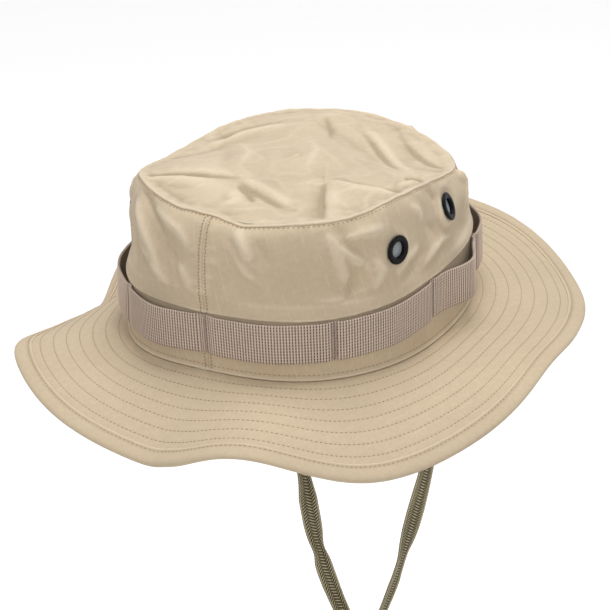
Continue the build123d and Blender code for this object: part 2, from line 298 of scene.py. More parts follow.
# Threads across a cloth: a thick thread every few millimetres each way, and the fine weave between.
weave_group, weave_in, weave_out = group(
    "ripstop_weave",
    {"Grain": "Vector", "Pitch": "Float", "Line": "Float"},
    {"Lines": "Float", "Height": "Float"},
)
grain_axes = node(weave_group, "ShaderNodeSeparateXYZ", {0: weave_in["Grain"]})
line_masks, fine_waves = [], []
for axis in (0, 1):
    cells = math_node(weave_group, "DIVIDE", grain_axes.outputs[axis], weave_in["Pitch"])
    off_line = math_node(weave_group, "PINGPONG", cells, 0.5)
    width = math_node(weave_group, "DIVIDE", weave_in["Line"], weave_in["Pitch"])
    near = math_node(weave_group, "DIVIDE", off_line, width)
    line_masks.append(math_node(weave_group, "SUBTRACT", 1.0, near, clamp=True))
    turns = math_node(weave_group, "MULTIPLY", grain_axes.outputs[axis], 2 * pi / (weave_pitch * mm))
    fine_waves.append(math_node(weave_group, "SINE", turns))
weft_mask = math_node(weave_group, "MULTIPLY", line_masks[1], 0.5)
lines = math_node(weave_group, "MAXIMUM", line_masks[0], weft_mask)
fine_height = math_node(weave_group, "MULTIPLY", math_node(weave_group, "MULTIPLY", *fine_waves), 0.25)
weave_group.links.new(lines, weave_out["Lines"])
weave_group.links.new(math_node(weave_group, "ADD", fine_height, lines), weave_out["Height"])

# Slow drift of a dye's depth over a piece, with a finer mottle of slubs in the yarn.
drift_group, drift_in, drift_out = group(
    "dye_drift", {"Place": "Vector", "Fine": "Float"}, {"Drift": "Float"}
)
drifts = []
for scale, detail in ((22.0, 2.0), (drift_in["Fine"], 3.0)):
    inputs = {"Vector": drift_in["Place"], "Scale": scale, "Detail": detail}
    drifts.append(node(drift_group, "ShaderNodeTexNoise", inputs).outputs[0])
halved = math_node(drift_group, "MULTIPLY", math_node(drift_group, "ADD", *drifts), 0.5)
drift_group.links.new(halved, drift_out["Drift"])


def ripstop(name, line_strength, turn, cloth=khaki):
    """Stone khaki ripstop cotton: paler thick threads, with a painted highlight on ridges and painted shade
    in dents.
    """
    material, tree, principled = shader(name, 0.88, {"Sheen Weight": 0.12, "Sheen Roughness": 0.6})
    grain = node(tree, "ShaderNodeUVMap", uv_map="Grain").outputs[0]
    turned = node(tree, "ShaderNodeMapping", {0: grain, "Rotation": (0, 0, radians(turn))}).outputs[0]
    threads = {"Grain": turned, "Pitch": ripstop_pitch * mm, "Line": ripstop_line * mm}
    weave = node(tree, "ShaderNodeGroup", threads, node_tree=weave_group)
    breaks = node(tree, "ShaderNodeTexNoise", {"Vector": place_on(tree), "Scale": 160.0, "Detail": 1.0})
    kept = ranged(tree, breaks.outputs[0], 0.42, 0.62, 0.1, line_strength)
    lined = mixed(tree, math_node(tree, "MULTIPLY", weave.outputs["Lines"], kept), cloth, khaki_line)
    # Painted light and shade: above 0 the colour mixes towards a painted highlight, below 0 towards a painted
    # shade.
    painted_level = node(tree, "ShaderNodeAttribute", attribute_name="painted_shading").outputs["Fac"]
    painted_lit = mixed(tree, math_node(tree, "MULTIPLY", painted_level, 0.75, clamp=True), lined, khaki_painted_highlight)
    painted_shaded = mixed(tree, math_node(tree, "MULTIPLY", painted_level, -0.7, clamp=True), painted_lit, khaki_painted_shade)
    dye(tree, principled, painted_shaded, 420.0, 0.93, 1.06)
    emboss(tree, principled, weave.outputs["Height"], 0.35, 0.08)
    return material


brim_ripstop = ripstop("brim_ripstop", 0.4, 24)
brim_skin, binding_skin = skin_of("brim_upper"), skin_of("brim_binding")
angles = np.linspace(0, 360, brim_columns + 1)
brim_top = []
for angle in angles:
    start = edge_reach(brim_skin, angle, on_brim, off_inside)
    cloth_end = edge_reach(brim_skin, angle, on_brim, off_cloth) - 0.05 * mm
    end = edge_reach(binding_skin, angle, cloth_end - 2 * mm, off_binding)
    reaches = np.linspace(start + 0.02 * mm, cloth_end, 24)
    heights = [under(brim_skin, angle, reach).z for reach in reaches]
    slope = (heights[-1] - heights[-3]) / (reaches[-1] - reaches[-3])
    reaches = np.append(reaches, end)
    heights.append(heights[-1] + slope * (end - cloth_end))
    out = start + np.linspace(0, 1, brim_rows + 1) * (end - start)
    brim_top.append(upright_line(angle, out, np.interp(out, reaches, heights)))
brim_top = ring_table(brim_top)
brim_up = normals_of(brim_top)
if brim_up[0, 0, 2] < 0:
    brim_up = -brim_up
brim_steps = np.linalg.norm(np.diff(brim_top, axis=0), axis=2)
brim_out = np.concatenate([np.zeros((1, brim_columns + 1)), np.cumsum(brim_steps, axis=0)]) / mm
brim_span = brim_out[-1]


def noise_table(table, scale, seed):
    """Smooth noise read at every point of a table of points."""
    shift = Vector((seed * 7.3, seed * 3.1, seed * 5.7))
    values = [noise.noise(Vector(point) * scale + shift) for point in table.reshape(-1, 3)]
    return np.array(values).reshape(table.shape[:2])


def quilting():
    """Height of the quilted cloth over its flat surface in millimetres, and its dents from 0 to 1."""
    dents = np.zeros_like(brim_out)
    for row in quilting_rows:
        dents = np.maximum(dents, bell(np.abs(brim_out - row * brim_span / brim_width), dent_width))
    pucker = noise_table(brim_top, 150.0, 1)
    slow_waves = noise_table(brim_top, 38.0, 2)
    loft = quilt_loft * (1 - dents) * (1 + 0.8 * pucker) + 0.35 * slow_waves
    return loft - quilt_dent * dents * (1 + 0.5 * pucker), dents


quilt_height, quilt_dents = quilting()
directions = np.array([heading(angle) for angle in angles])
brim_stop = (np.minimum(brim_out, brim_span - edge_clearance) - brim_out) * mm


def brim_layer(level):
    """The brim's surface moved a table of millimetres along its own normal, and kept inside the edge."""
    return raised(brim_top, brim_up, level) + directions[None] * brim_stop[:, :, None]


at_seam = np.clip(brim_out / 3, 0, 1)
for name, (depth, thickness) in brim_plies.items():
    lift = {"brim_upper": quilt_height * at_seam, "brim_lower": -quilt_height}.get(name, 0 * quilt_height)
    # Painted shade along the quilting dents.
    table, dent_painted_shade, grain = brim_layer(lift - depth), -0.1 * quilt_dents, brim_top[:, :, :2]
    if name == "brim_lower":
        table = brim_layer(lift - depth - thickness)[::-1]
        dent_painted_shade, grain = dent_painted_shade[::-1], grain[::-1]
    slot = "interlining_felt" if name == "brim_interlining" else "ripstop_cloth"
    cloth_piece(f"{name}_cloth", name, table, grain, thickness, brim_ripstop, dent_painted_shade)

# ---- Brim binding
# A strip of the same cloth cut on the bias, folded over the brim's edge and sewn through. It ropes
# a little where it was eased around the curve, and its two ends lap at the wearer's rear left.

binding_profile = [
    (10.0, 0.05), (10.0, 0.42), (9.75, 0.7), (9.3, 0.82), (8.7, 0.72), (8.0, 0.62), (7.3, 0.8), (6.2, 0.95),
    (4.8, 1.0), (3.4, 0.98), (2.3, 0.85), (1.4, 0.55), (0.7, 0.1), (0.25, -0.4), (0.1, -0.9), (0.25, -1.4),
    (0.7, -1.9), (1.4, -2.3), (2.3, -2.55), (3.4, -2.7), (4.8, -2.72), (6.4, -2.6), (8.0, -2.4), (9.3, -2.5),
    (9.9, -2.3), (10.0, -1.9),
]
lap_angle = 195.0
roping_pitch = 6.2


def run_of(points):
    """How far along a line of points each of them lies."""
    return np.concatenate([[0], np.cumsum(np.linalg.norm(np.diff(points, axis=0), axis=1))])


def read_line(at, run, points):
    """The points of a line at one or more places along its run."""
    return np.stack([np.interp(at, run, points[:, axis]) for axis in range(points.shape[1])], axis=-1)


def across_brim(values, out):
    """Reads a table of the brim's values at one distance out from the seam, for every angle."""
    lines = zip(out, brim_out.T, values.transpose(1, 0, 2))
    return np.array([read_line(at, run, line) for at, run, line in lines])


edge_run = run_of(brim_top[-1]) / mm
roping = noise_table(brim_top[-1:], 30.0, 5)[0]
lap = bell((angles - lap_angle) * 2.6, 1.6)
binding_rows, binding_grain = [], []
for inwards, offset in binding_profile:
    place = across_brim(brim_top, brim_span - inwards)
    up = across_brim(brim_up, brim_span - inwards)
    side = 1 if offset > -0.9 else -1
    slant = edge_run / roping_pitch * 2 * pi + inwards * 0.75 + 9 * roping
    middle = sin(pi * min(inwards, 9.0) / 9.0)
    rope = (0.06 + 0.22 * np.clip(roping + 0.2, 0, 1)) * middle * np.sin(slant)
    level = offset + side * (rope + 0.35 * lap * (inwards > 0.2))
    binding_rows.append(place + up * (level * mm)[:, None])
    binding_grain.append(np.stack([edge_run * mm, np.full_like(edge_run, (inwards * side) * mm)], axis=1))
binding_table = smooth_ring(np.array(binding_rows), 1)
# Painted highlight on the binding's folded inner edge (rows 2 and 3), and painted shade around its stitch row
# (rows 4 to 6).
binding_painted_shading = np.zeros(binding_table.shape[:2])
binding_painted_shading[2:4] = 0.55
binding_painted_shading[4:7] = -0.35
cloth_piece(
    "brim_binding_cloth", "brim_binding", binding_table, np.array(binding_grain), 0.3,
    ripstop("binding_ripstop", 0.2, 45), binding_painted_shading,
)

# ---- Quilting and binding stitches
# Tan polyester lockstitch, about ten stitches to the inch: seven rows through the brim and one
# through the binding. The same thread shows on both sides of the brim.

stitch_pitch, stitch_length, thread_width = 2.55, 1.5, 0.42
binding_stitch = 8.0
thread_tan = (0.400, 0.265, 0.155)


def thread_material(name, colour):
    """Twisted polyester thread: fine ply lines, and a shade that drifts along the row."""
    material, tree, principled = shader(name, 0.75)
    dye(tree, principled, colour, 900.0, 0.75, 1.25)
    waves = {"Vector": place_on(tree), "Scale": 900.0, "Distortion": 1.0}
    ply = node(tree, "ShaderNodeTexWave", waves, bands_direction="DIAGONAL")
    emboss(tree, principled, ply.outputs[1], 0.4, 0.05)
    return material


stitch_thread = thread_material("stitch_thread", thread_tan)
bpy.ops.mesh.primitive_uv_sphere_add(segments=6, ring_count=4, radius=0.5)
stitch_form = bpy.context.object
bpy.ops.transform.rotate(value=pi / 2, orient_axis="Y", center_override=(0, 0, 0))
bpy.ops.object.transform_apply(rotation=True)
stitch_corners = corners_of(stitch_form.data)
stitch_faces = [list(face.vertices) for face in stitch_form.data.polygons]
bpy.data.objects.remove(stitch_form)


def square_to(forward, ups):
    """Up directions turned square to the way a line runs."""
    return unit(ups - forward * np.sum(ups * forward, axis=1, keepdims=True))


def mesh_piece(name, points, faces):
    """A smooth piece made from blocks of points and a list of faces."""
    data = bpy.data.meshes.new(name)
    data.from_pydata(np.concatenate(points).tolist(), [], faces)
    data.shade_smooth()
    piece = bpy.data.objects.new(name, data)
    bpy.context.scene.collection.objects.link(piece)
    return piece


def along_path(path, ups, pitch):
    """Evenly spaced places on a path, with the direction along it and the direction up at each."""
    run = run_of(path)
    count = max(int(run[-1] / (pitch * mm)), 1)
    at = (np.arange(count) + 0.5) * run[-1] / count
    forward = unit(read_line(at + 0.3 * mm, run, path) - read_line(at - 0.3 * mm, run, path))
    return read_line(at, run, path), forward, square_to(forward, read_line(at, run, ups))


def sew(name, rows, material, length=stitch_length, width=thread_width, pitch=stitch_pitch, zigzag=0.0):
    """Stitches of thread along some paths, as one piece on the hat."""
    points, faces = [], []
    for path, ups in rows:
        places, forward, up = along_path(path, ups, pitch)
        side = np.cross(up, forward)
        for index, (place, ahead, above, aside) in enumerate(zip(places, forward, up, side)):
            angle = radians(zigzag * (-1) ** index)
            lead = ahead * cos(angle) + aside * sin(angle)
            cross = aside * cos(angle) - ahead * sin(angle)
            scaled = stitch_corners * (length * mm, width * mm, width * mm)
            start = len(points) * len(stitch_corners)
            points.append(place + scaled[:, :1] * lead + scaled[:, 1:2] * cross + scaled[:, 2:] * above)
            faces += [[start + corner for corner in face] for face in stitch_faces]
    declare(mesh_piece(name, points, faces), material)


upper_rows, lower_rows = [], []
for row in quilting_rows:
    out = row * brim_span / brim_width
    up = across_brim(brim_up, out)
    level = across_brim(quilt_height[:, :, None], out)
    place = across_brim(brim_top, out)
    upper_rows.append((place + up * (level + 0.08) * mm, up))
    lower_rows.append((place - up * (level + brim_stack + 0.08) * mm, -up))
place = across_brim(brim_top, brim_span - binding_stitch)
up = across_brim(brim_up, brim_span - binding_stitch)
binding_rows_sewn = [(place + up * 0.66 * mm, up), (place - up * 2.44 * mm, -up)]
sew("quilting_stitches_upper", upper_rows, stitch_thread)
sew("quilting_stitches_lower", lower_rows, stitch_thread)
sew("binding_stitches", binding_rows_sewn, stitch_thread, width=0.5)

# ---- Crown side panels
# Two curved panels of ripstop cloth, joined by flat seams at the front and the back. A tuck runs
# around them just above the webbing, and the foot is turned out as a narrow welt over the brim.

wall_columns = 500
tuck_height = 37.4
low_wall = 42.0  # the part of the wall behind the webbing
panel_cloth = 0.5
vent_hole = 5.9
vent_turn, vent_tip = 10, 9  # how the creased cloth turns and tips the vent at the right front
seam_stitch_gap = 1.75
chart_scale = 1.6  # millimetres around the wall for each degree
fold_scale = 1.75
wall_skin = skin_of("crown_side_right", "crown_side_left")
fan_centre = Vector((0, 0, 0.04))
wall_angles = np.linspace(0, 360, wall_columns + 1)


def wall_hit(angle, rise):
    """Where the crown's outer face is met from outside, looking at the fan's centre."""
    outwards = heading(angle) * cos(rise) + Vector((0, 0, sin(rise)))
    return wall_skin.ray_cast(fan_centre + outwards * 0.25, -outwards, 0.25)[0]


def wall_line(angle, foot):
    """Points up the crown's outer face, from the base seam to the top seam."""
    met = [(rise, wall_hit(angle, rise)) for rise in np.radians(np.arange(-32, 50, 0.8))]
    met = [(rise, point) for rise, point in met if point is not None]
    low, high = met[-1][0], met[-1][0] + radians(0.8)
    for _ in range(8):
        middle = (low + high) / 2
        low, high = (middle, high) if wall_hit(angle, middle) is not None else (low, middle)
    points = np.array([point for _, point in met] + [wall_hit(angle, low)])
    reach = np.hypot(points[:, 0], points[:, 1])
    start = np.interp(foot, points[:8, 2], reach[:8])
    above = points[:, 2] > foot + 0.5 * mm
    return np.array([(start, foot), *zip(reach[above], points[above, 2])])


near_rows = np.concatenate([np.arange(0, 5, 0.5), np.arange(5, 29.5, 1.6), np.arange(30, low_wall, 0.6)])
far_rows = np.concatenate([np.linspace(0, 0.9, 38)[:-1], np.linspace(0.9, 1, 11)])
seam_foot = np.interp(wall_angles, angles, brim_top[0, :, 2])
wall = []
wall_up = []
for angle, foot in zip(wall_angles, seam_foot):
    line = wall_line(angle, foot)
    run = run_of(line) / mm
    at = np.concatenate([near_rows, low_wall + far_rows * (run[-1] - low_wall)])[::-1]
    wall_up.append(at)
    wall.append(upright_line(angle, np.interp(at, run, line[:, 0]), np.interp(at, run, line[:, 1])))
wall = ring_table(wall)
wall_up = smooth_ring(np.array(wall_up).T[:, :, None])[:, :, 0]
seam_heights = [  # at some angles, how many millimetres the top seam stands over its place in the CAD
    (0, 0), (30, 1.0), (60, 0), (90, 1.0), (98, 1.9), (106, 2.5), (113, 3.4), (121, 2.9), (129, 1.9),
    (137, 1.2), (150, 1.0), (160, -0.2), (164, -1.4), (167.7, -2.6), (172, -1.0), (177, 0.6), (186, 1.0),
    (193, -0.6), (205, 0), (260, 0), (300, 1.0), (340, -0.8), (360, 0),
]
seam_rise = smooth_ring(np.interp(wall_angles, *zip(*seam_heights))[None, :, None], 3)[0, :, 0]
above_webbing = np.clip((wall_up - 44) / (wall_up[:1] - 44), 0, 1)
wall[:, :, 2] += seam_rise * above_webbing**1.5 * mm
wall_out = normals_of(wall)
wall_length = wall_up[0]
from_top = wall_length - wall_up
wall_turn = np.broadcast_to(wall_angles, wall_up.shape)
wall_chart = np.stack([wall_turn * chart_scale, wall[:, :, 2] / mm], axis=2)


def near_path(chart, path):
    """Signed distance of every point of a chart from a drawn path, and how far along it lies."""
    best = np.full(chart.shape[:2], 1e9)
    side = np.zeros(chart.shape[:2])
    share = np.zeros(chart.shape[:2])
    count = len(path) - 1
    for index, (start, end) in enumerate(zip(path, path[1:])):
        step = np.array(end, float) - start
        passed = np.clip((chart - start) @ step / (step @ step), 0, 1)
        gap = chart - (start + passed[:, :, None] * step)
        away = np.linalg.norm(gap, axis=2)
        closer = away < best
        turned = np.sign(step[0] * gap[:, :, 1] - step[1] * gap[:, :, 0])
        best = np.where(closer, away, best)
        side = np.where(closer, turned, side)
        share = np.where(closer, (index + passed) / count, share)
    return best, side, share


def fold(chart, path, height, left, right):
    """A crease pressed into cloth along a path, with a slight trough along its steeper side."""
    away, side, share = near_path(chart, path)
    width = np.where(side > 0, left, right)
    taper = np.sin(pi * np.clip(share, 0.03, 0.97)) ** 0.8
    steep = min(left, right)
    trough = 0.3 * (height > 0) * bell(away - 2.1 * steep, 0.9 * steep) * ((side > 0) == (left < right))
    return height * taper * (np.exp(-((away / width) ** 1.15)) - trough)


def folded(chart, folds, scale):
    """The height of a cloth with all its creases pressed in, in millimetres."""
    return scale * sum(fold(chart, *crease) for crease in folds)


def crumple(table, scale, seed):
    """Sharp creases wandering over a cloth, from 0 between them to 1 along them."""
    return np.clip(1 - 3.2 * np.abs(noise_table(table, scale, seed)), 0, 1) ** 1.5


def blurred(table, reach):
    """A table averaged over a square of cells, wrapping round the hat from column to column."""
    wide = np.concatenate([table[:, -reach - 1:-1], table, table[:, 1:reach + 1]], axis=1)
    wide = np.concatenate([wide[:1]] * reach + [wide] + [wide[-1:]] * reach, axis=0)
    total = np.zeros_like(table)
    for down in range(2 * reach + 1):
        sums = np.cumsum(wide[down:down + table.shape[0]], axis=1)
        sums = np.concatenate([np.zeros((len(sums), 1)), sums], axis=1)
        total += sums[:, 2 * reach + 1:] - sums[:, :-2 * reach - 1]
    return total / (2 * reach + 1) ** 2


def painted_crease_shading(lift, strength):
    """Painted light and shade of a creased cloth: a painted highlight along its ridges and painted shade down
    in its creases, from -1 to 1.
    """
    return np.clip(strength * (1.1 * (lift - blurred(lift, 3)) + 0.45 * (lift - blurred(lift, 9))), -1, 0.8)


side_folds = [
    ([(170, 83), (167, 76), (164, 68)], 1.6, 2.5, 4.5),
    ([(163, 80), (158, 66)], -0.9, 3.0, 3.0),
    ([(142, 84), (139, 75), (135, 68), (130, 62)], 2.4, 6.0, 2.2),
    ([(141, 80), (137, 70), (134, 58), (135, 46)], -1.6, 2.0, 5.0),
    ([(139, 78), (131, 79), (122, 78)], 1.5, 3.5, 3.0),
    ([(133, 63), (134, 52), (137, 44)], -1.3, 2.0, 3.0),
    ([(128, 66), (124, 56), (127, 45)], 1.0, 4.0, 4.0),
    ([(119, 50), (112, 56), (104, 58)], 1.2, 3.0, 3.5),
    ([(116, 44), (108, 50), (98, 52)], -1.2, 2.5, 3.0),
    ([(104, 44), (96, 50), (88, 52), (78, 50)], 1.5, 3.0, 3.5),
    ([(98, 66), (92, 60), (90, 50)], -1.1, 3.0, 3.0),
    ([(108, 82), (103, 76), (100, 68)], 1.0, 3.0, 3.0),
    ([(90, 82), (86, 72), (88, 64)], -1.4, 4.0, 3.0),
    ([(215, 86), (209, 84), (200, 77), (195, 70)], -1.9, 2.2, 4.5),
    ([(218, 82), (208, 72), (200, 60), (196, 50)], 1.6, 4.0, 3.0),
    ([(204, 83), (197, 80), (190, 77), (184, 70)], 1.5, 3.0, 4.5),
    ([(200, 72), (192, 64), (186, 60)], -1.4, 3.0, 3.0),
    ([(208, 60), (200, 54), (192, 46)], 1.2, 3.0, 3.0),
    ([(190, 66), (187, 56), (184, 48)], 0.9, 2.0, 3.0),
    ([(225, 74), (230, 60), (226, 48)], 1.4, 4.0, 4.0),
    ([(250, 80), (246, 66), (252, 50)], 1.6, 4.0, 5.0),
    ([(275, 84), (280, 72), (268, 52)], -1.6, 4.0, 4.0),
    ([(300, 82), (306, 70), (300, 54)], 1.5, 4.0, 5.0),
    ([(330, 84), (322, 72), (330, 56)], 1.5, 5.0, 4.0),
    ([(345, 80), (352, 66), (346, 48)], -1.5, 4.0, 4.0),
    ([(18, 82), (12, 70), (20, 54)], 1.5, 4.0, 4.0),
    ([(38, 82), (44, 70), (36, 50)], -1.6, 4.0, 5.0),
    ([(60, 80), (56, 66), (64, 50)], 1.6, 4.0, 4.0),
    ([(236, 86), (234, 74), (235, 62)], 1.3, 5.0, 4.0),
    ([(241, 60), (238, 50), (241, 43)], -1.0, 6.0, 6.0),
    ([(173, 78), (169, 70), (166, 62), (163, 58)], 0.9, 2.0, 3.0),
    ([(214, 58), (206, 54), (198, 56)], -1.2, 3.0, 3.0),
    ([(150, 48), (140, 46), (128, 48)], 0.8, 4.0, 3.0),
]
side_creases = [
    ([(turn * chart_scale, height) for turn, height in path], *form) for path, *form in side_folds
]
wall_lift = folded(wall_chart, side_creases, fold_scale)
wall_lift += 1.9 * noise_table(wall * (1, 1, 0.6), 30.0, 11) - 0.9 * crumple(wall * (1, 1, 0.7), 30.0, 12)
webbing_turns = [0, 60, 97, 105, 122, 138, 157, 183, 200, 225, 240, 262, 300, 360]
webbing_sags = [0, -0.8, -1.8, -1.2, 0.8, 2.0, 2.6, 3.0, 2.6, 2.6, 3.0, 2.0, 0, 0]
webbing_sag = np.interp(wall_angles, webbing_turns, webbing_sags)
wall_height = wall_chart[:, :, 1]
wall_lift -= 3.6 * bell(wall_turn - 231, 13) * bell(wall_height - 54, 13)  # a hollow at the rear left
wall_lift -= 3.5 * bell(wall_turn - 64, 13) * bell(wall_height - 47, 11)  # and one at the front right
above_tuck = np.clip((wall_up + webbing_sag - 40) / 7, 0, 1) * np.clip(from_top / 5, 0, 1)
wall_lift *= above_tuck
pull = noise_table(wall * (1, 1, 0.12), 170.0, 13)
wall_lift += pull * (0.45 * bell(from_top - 3, 5) + 0.3 * bell(wall_up - 8, 6))
tuck_wander = 0.35 * noise_table(wall[:1], 30.0, 14)[0]
over_tuck = wall_up - tuck_height + webbing_sag - tuck_wander
tuck = np.where(over_tuck > 0, np.exp(-over_tuck / 1.8), bell(over_tuck, 0.35))
welt = np.interp(wall_up, [0, 0.5, 1.0, 1.5, 2.0, 2.5, 3.5], [0.3, 0.85, 1.0, 0.85, 0.4, 0.05, 0])
wall_lift += tuck + welt
from_back = np.abs(wall_turn - 180) * chart_scale
from_seam = np.minimum(from_back, np.minimum(wall_turn, 360 - wall_turn) * chart_scale)
seam_fold = 0.28 / (1 + np.exp((from_seam - 3.0) / 0.35))
wall_lift += seam_fold * np.clip(from_top / 2, 0, 1) * np.clip(wall_up / 4, 0, 1)
seam_pucker = noise_table(wall * (0.3, 0.3, 1), 260.0, 15)
wall_lift += 0.6 * seam_pucker * bell(from_back - 4, 4)

vent_faces = {}
for name in ("right_rear", "right_front", "left_front", "left_rear"):
    washer = corners_of(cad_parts[f"vent_washer_{name}"].data)
    rim = corners_of(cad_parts[f"vent_eyelet_{name}"].data)
    middle = (washer.max(axis=0) + washer.min(axis=0)) / 2
    axis = np.linalg.svd(washer - washer.mean(axis=0), full_matrices=False)[2][2]
    axis *= np.sign(axis[:2] @ middle[:2])
    vent_faces[name] = (middle + axis * (((rim - middle) @ axis).max() - 1.5 * mm), axis)
face, axis = vent_faces["right_front"]
turned, tipped = atan2(axis[0], axis[1]) - radians(vent_turn), np.arcsin(axis[2]) + radians(vent_tip)
vent_faces["right_front"] = (face, np.array([*(heading(degrees(turned)) * cos(tipped)).xy, sin(tipped)]))
for face, axis in vent_faces.values():
    gap = wall - face
    level = gap @ axis
    away = np.linalg.norm(gap - level[:, :, None] * axis, axis=2) / mm
    away = np.where(np.abs(level) < 0.02, away, 1e9)
    settle = np.clip((12 - away) / 4, 0, 1)
    wall_lift = wall_lift * (1 - settle) + settle * (-0.2 - level / mm)

# Painted shading of the crown wall: a painted highlight on ridges and painted shade in creases above the
# webbing, painted shade along the seam stitch rows, and a painted highlight on the tuck and the welt.
wall_painted_shading = painted_crease_shading(wall_lift * np.clip((wall_up - low_wall) / 4, 0, 1), 1.25)
wall_painted_shading -= 0.7 * bell(from_seam - seam_stitch_gap, 0.7) * np.clip(0.6 + seam_pucker, 0, 1)
wall_painted_shading = np.maximum(wall_painted_shading, 0.8 * ((tuck > 0.75) | (welt > 0.8)))
crown_wall = raised(wall, wall_out, wall_lift)
wall_grain = np.stack([wall_turn * chart_scale * mm, wall_up * mm], axis=2)


def pick_faces(piece, chosen):
    """Selects the faces of a piece that pass a test, and nothing else."""
    with editing("DESELECT"):
        bpy.ops.mesh.select_mode(type="FACE")
    for face in piece.data.polygons:
        face.select = chosen(face)


def in_a_vent(face):
    """Whether a face of the cloth lies where an eyelet is clinched through it."""
    return min((face.center - Vector(spot)).length for spot, _ in vent_faces.values()) < vent_hole * mm


crown_ripstop = ripstop("crown_ripstop", 0.62, 13)
half = wall_columns // 2
for side, columns in {"right": slice(0, half + 1), "left": slice(half, wall_columns + 1)}.items():
    table, grain, painted_shading = (whole[:, columns] for whole in (crown_wall, wall_grain, wall_painted_shading))
    panel = lay_cloth(f"crown_side_{side}_cloth", table, grain, painted_shading, ring=False)
    pick_faces(panel, in_a_vent)
    with editing():
        bpy.ops.mesh.delete(type="FACE")
    give_thickness(panel, panel_cloth)
    declare(panel, crown_ripstop, f"crown_side_{side}")


def wall_row(at, lift=0.1):
    """A path around the crown at one distance up its face, lying on the cloth."""
    path, ups = (
        np.array([read_line(at[index], wall_up[::-1, index], table[::-1, index]) for index in range(len(at))])
        for table in (crown_wall, wall_out)
    )
    return path + ups * lift * mm, ups


sew("base_topstitches", [wall_row(np.full(wall_columns + 1, 3.3))], stitch_thread)
sew("top_seam_topstitches", [wall_row(wall_length - 2.3)], stitch_thread)

# ---- Front and back seams
# Each is a flat seam with two rows of slanting stitches, three and a half millimetres apart, from
# the top seam down to the base seam.

seam_tan = (0.40, 0.285, 0.175)
seam_thread = thread_material("seam_thread", seam_tan)
seam_rows = []
for turn in (180, 0):
    for aside in (-seam_stitch_gap, seam_stitch_gap):
        at = (turn + aside / chart_scale) % 360
        place, ups = (
            np.array([read_line(at, wall_angles, row) for row in table]) for table in (crown_wall, wall_out)
        )
        seam_rows.append(((place + ups * 0.12 * mm)[2:-3], ups[2:-3]))
sew("crown_seam_stitches", seam_rows, seam_thread, length=1.45, width=0.72, pitch=1.8, zigzag=32)

# ---- Crown top
# One oval of ripstop cloth laid over the top seam. It is slack, so it slumps between the folds that
# were pressed into it when the hat was packed, and its rim rolls over the side panels as a thin ridge.

top_columns, top_rows = 420, 64
top_fold_scale = 1.7
top_reach = 75  # about how far the top's edge lies from its middle
# A paler khaki for the top panel: partly faded cloth, partly a painted sheen of the top under the overhead
# light.
top_khaki_fade_and_sheen = (0.655, 0.530, 0.372)
top_skin = skin_of("crown_top_panel")
top_angles = np.linspace(0, 360, top_columns + 1)
wall_top, wall_next, rim_out = (
    read_line(top_angles, wall_angles, row) for row in (crown_wall[0], crown_wall[5], wall_out[1])
)
rim_down = unit(wall_next - wall_top)
top = []
for angle in top_angles:
    edge = edge_reach(top_skin, angle, 0.05, 0.12)
    reaches = np.linspace(0, edge, 30)
    heights = [under(top_skin, angle, reach).z for reach in reaches]
    out = np.linspace(0, edge, top_rows + 1)
    top.append(upright_line(angle, out, np.interp(out, reaches, heights)))
top = ring_table(top)
top_chart = top[:, :, :2] / mm
top_folds = [
    ([(-62, -60), (-50, -54), (-37, -51), (-23, -48), (-8, -42)], -2.0, 2.5, 6.0),
    ([(-60, -66), (-40, -60), (-20, -56)], 1.2, 5.0, 5.0),
    ([(-8, -42), (7, -50), (20, -57), (32, -62)], 1.8, 5.0, 2.2),
    ([(-8, -50), (4, -58), (12, -66)], -1.4, 3.0, 3.0),
    ([(32, -28), (42, -48), (56, -72)], -2.4, 2.6, 11.0),
    ([(34, -26), (52, -30), (64, -26), (76, -28)], 1.6, 2.6, 6.0),
    ([(10, 60), (24, 50), (40, 36), (62, 12)], 1.5, 5.0, 2.4),
    ([(30, 66), (48, 56), (66, 44)], -1.6, 3.0, 5.0),
    ([(78, -2), (70, 6), (62, 2)], -2.4, 4.0, 4.0),
    ([(66, -12), (72, 0), (70, 14)], 1.2, 3.0, 3.0),
    ([(-10, 30), (6, 10), (14, -16)], 0.8, 6.0, 6.0),
    ([(-50, 20), (-30, 0), (-20, -26)], 0.8, 6.0, 5.0),
    ([(-66, 12), (-52, 30), (-30, 44)], 1.5, 4.0, 5.0),
    ([(-20, 66), (-6, 48), (4, 30)], -1.2, 4.0, 4.0),
    ([(0, -76), (2, -68), (-4, -58)], 0.9, 2.5, 3.5),
]
top_lift = folded(top_chart, top_folds, top_fold_scale)
top_lift += 1.6 * noise_table(top, 26.0, 21) - 0.7 * crumple(top, 22.0, 22) + 0.25 * crumple(top, 60.0, 24)
share_out = np.linspace(0, 1, top_rows + 1)[:, None]
top_lift *= np.clip((1 - share_out) / 0.06, 0, 1)
top_lift += 0.35 * noise_table(top * (1, 1, 0), 190.0, 23) * bell((1 - share_out) * top_reach - 3, 5)
top_up = normals_of(top)
top_up[0] = (0, 0, 1)
crown_top = raised(top, top_up, top_lift)
to_wall = wall_top + rim_out * 0.75 * mm - crown_top[-1]
crown_top += to_wall[None] * np.clip((share_out - 0.8) / 0.2, 0, 1)[:, :, None] ** 1.5
# Each lip row: how far down and out it lies from the wall's top, and its painted shading, a painted highlight
# on the rolled ridge and painted shade below it.
lip = [(0.35, 1.15, 0.8), (0.85, 1.3, 0.9), (1.35, 1.05, 0.5), (1.6, 0.5, -0.3), (1.5, -0.15, -0.9)]
lip_rows = [wall_top + (rim_down * down + rim_out * out) * mm for down, out, _ in lip]
crown_top = np.concatenate([crown_top, np.array(lip_rows)])
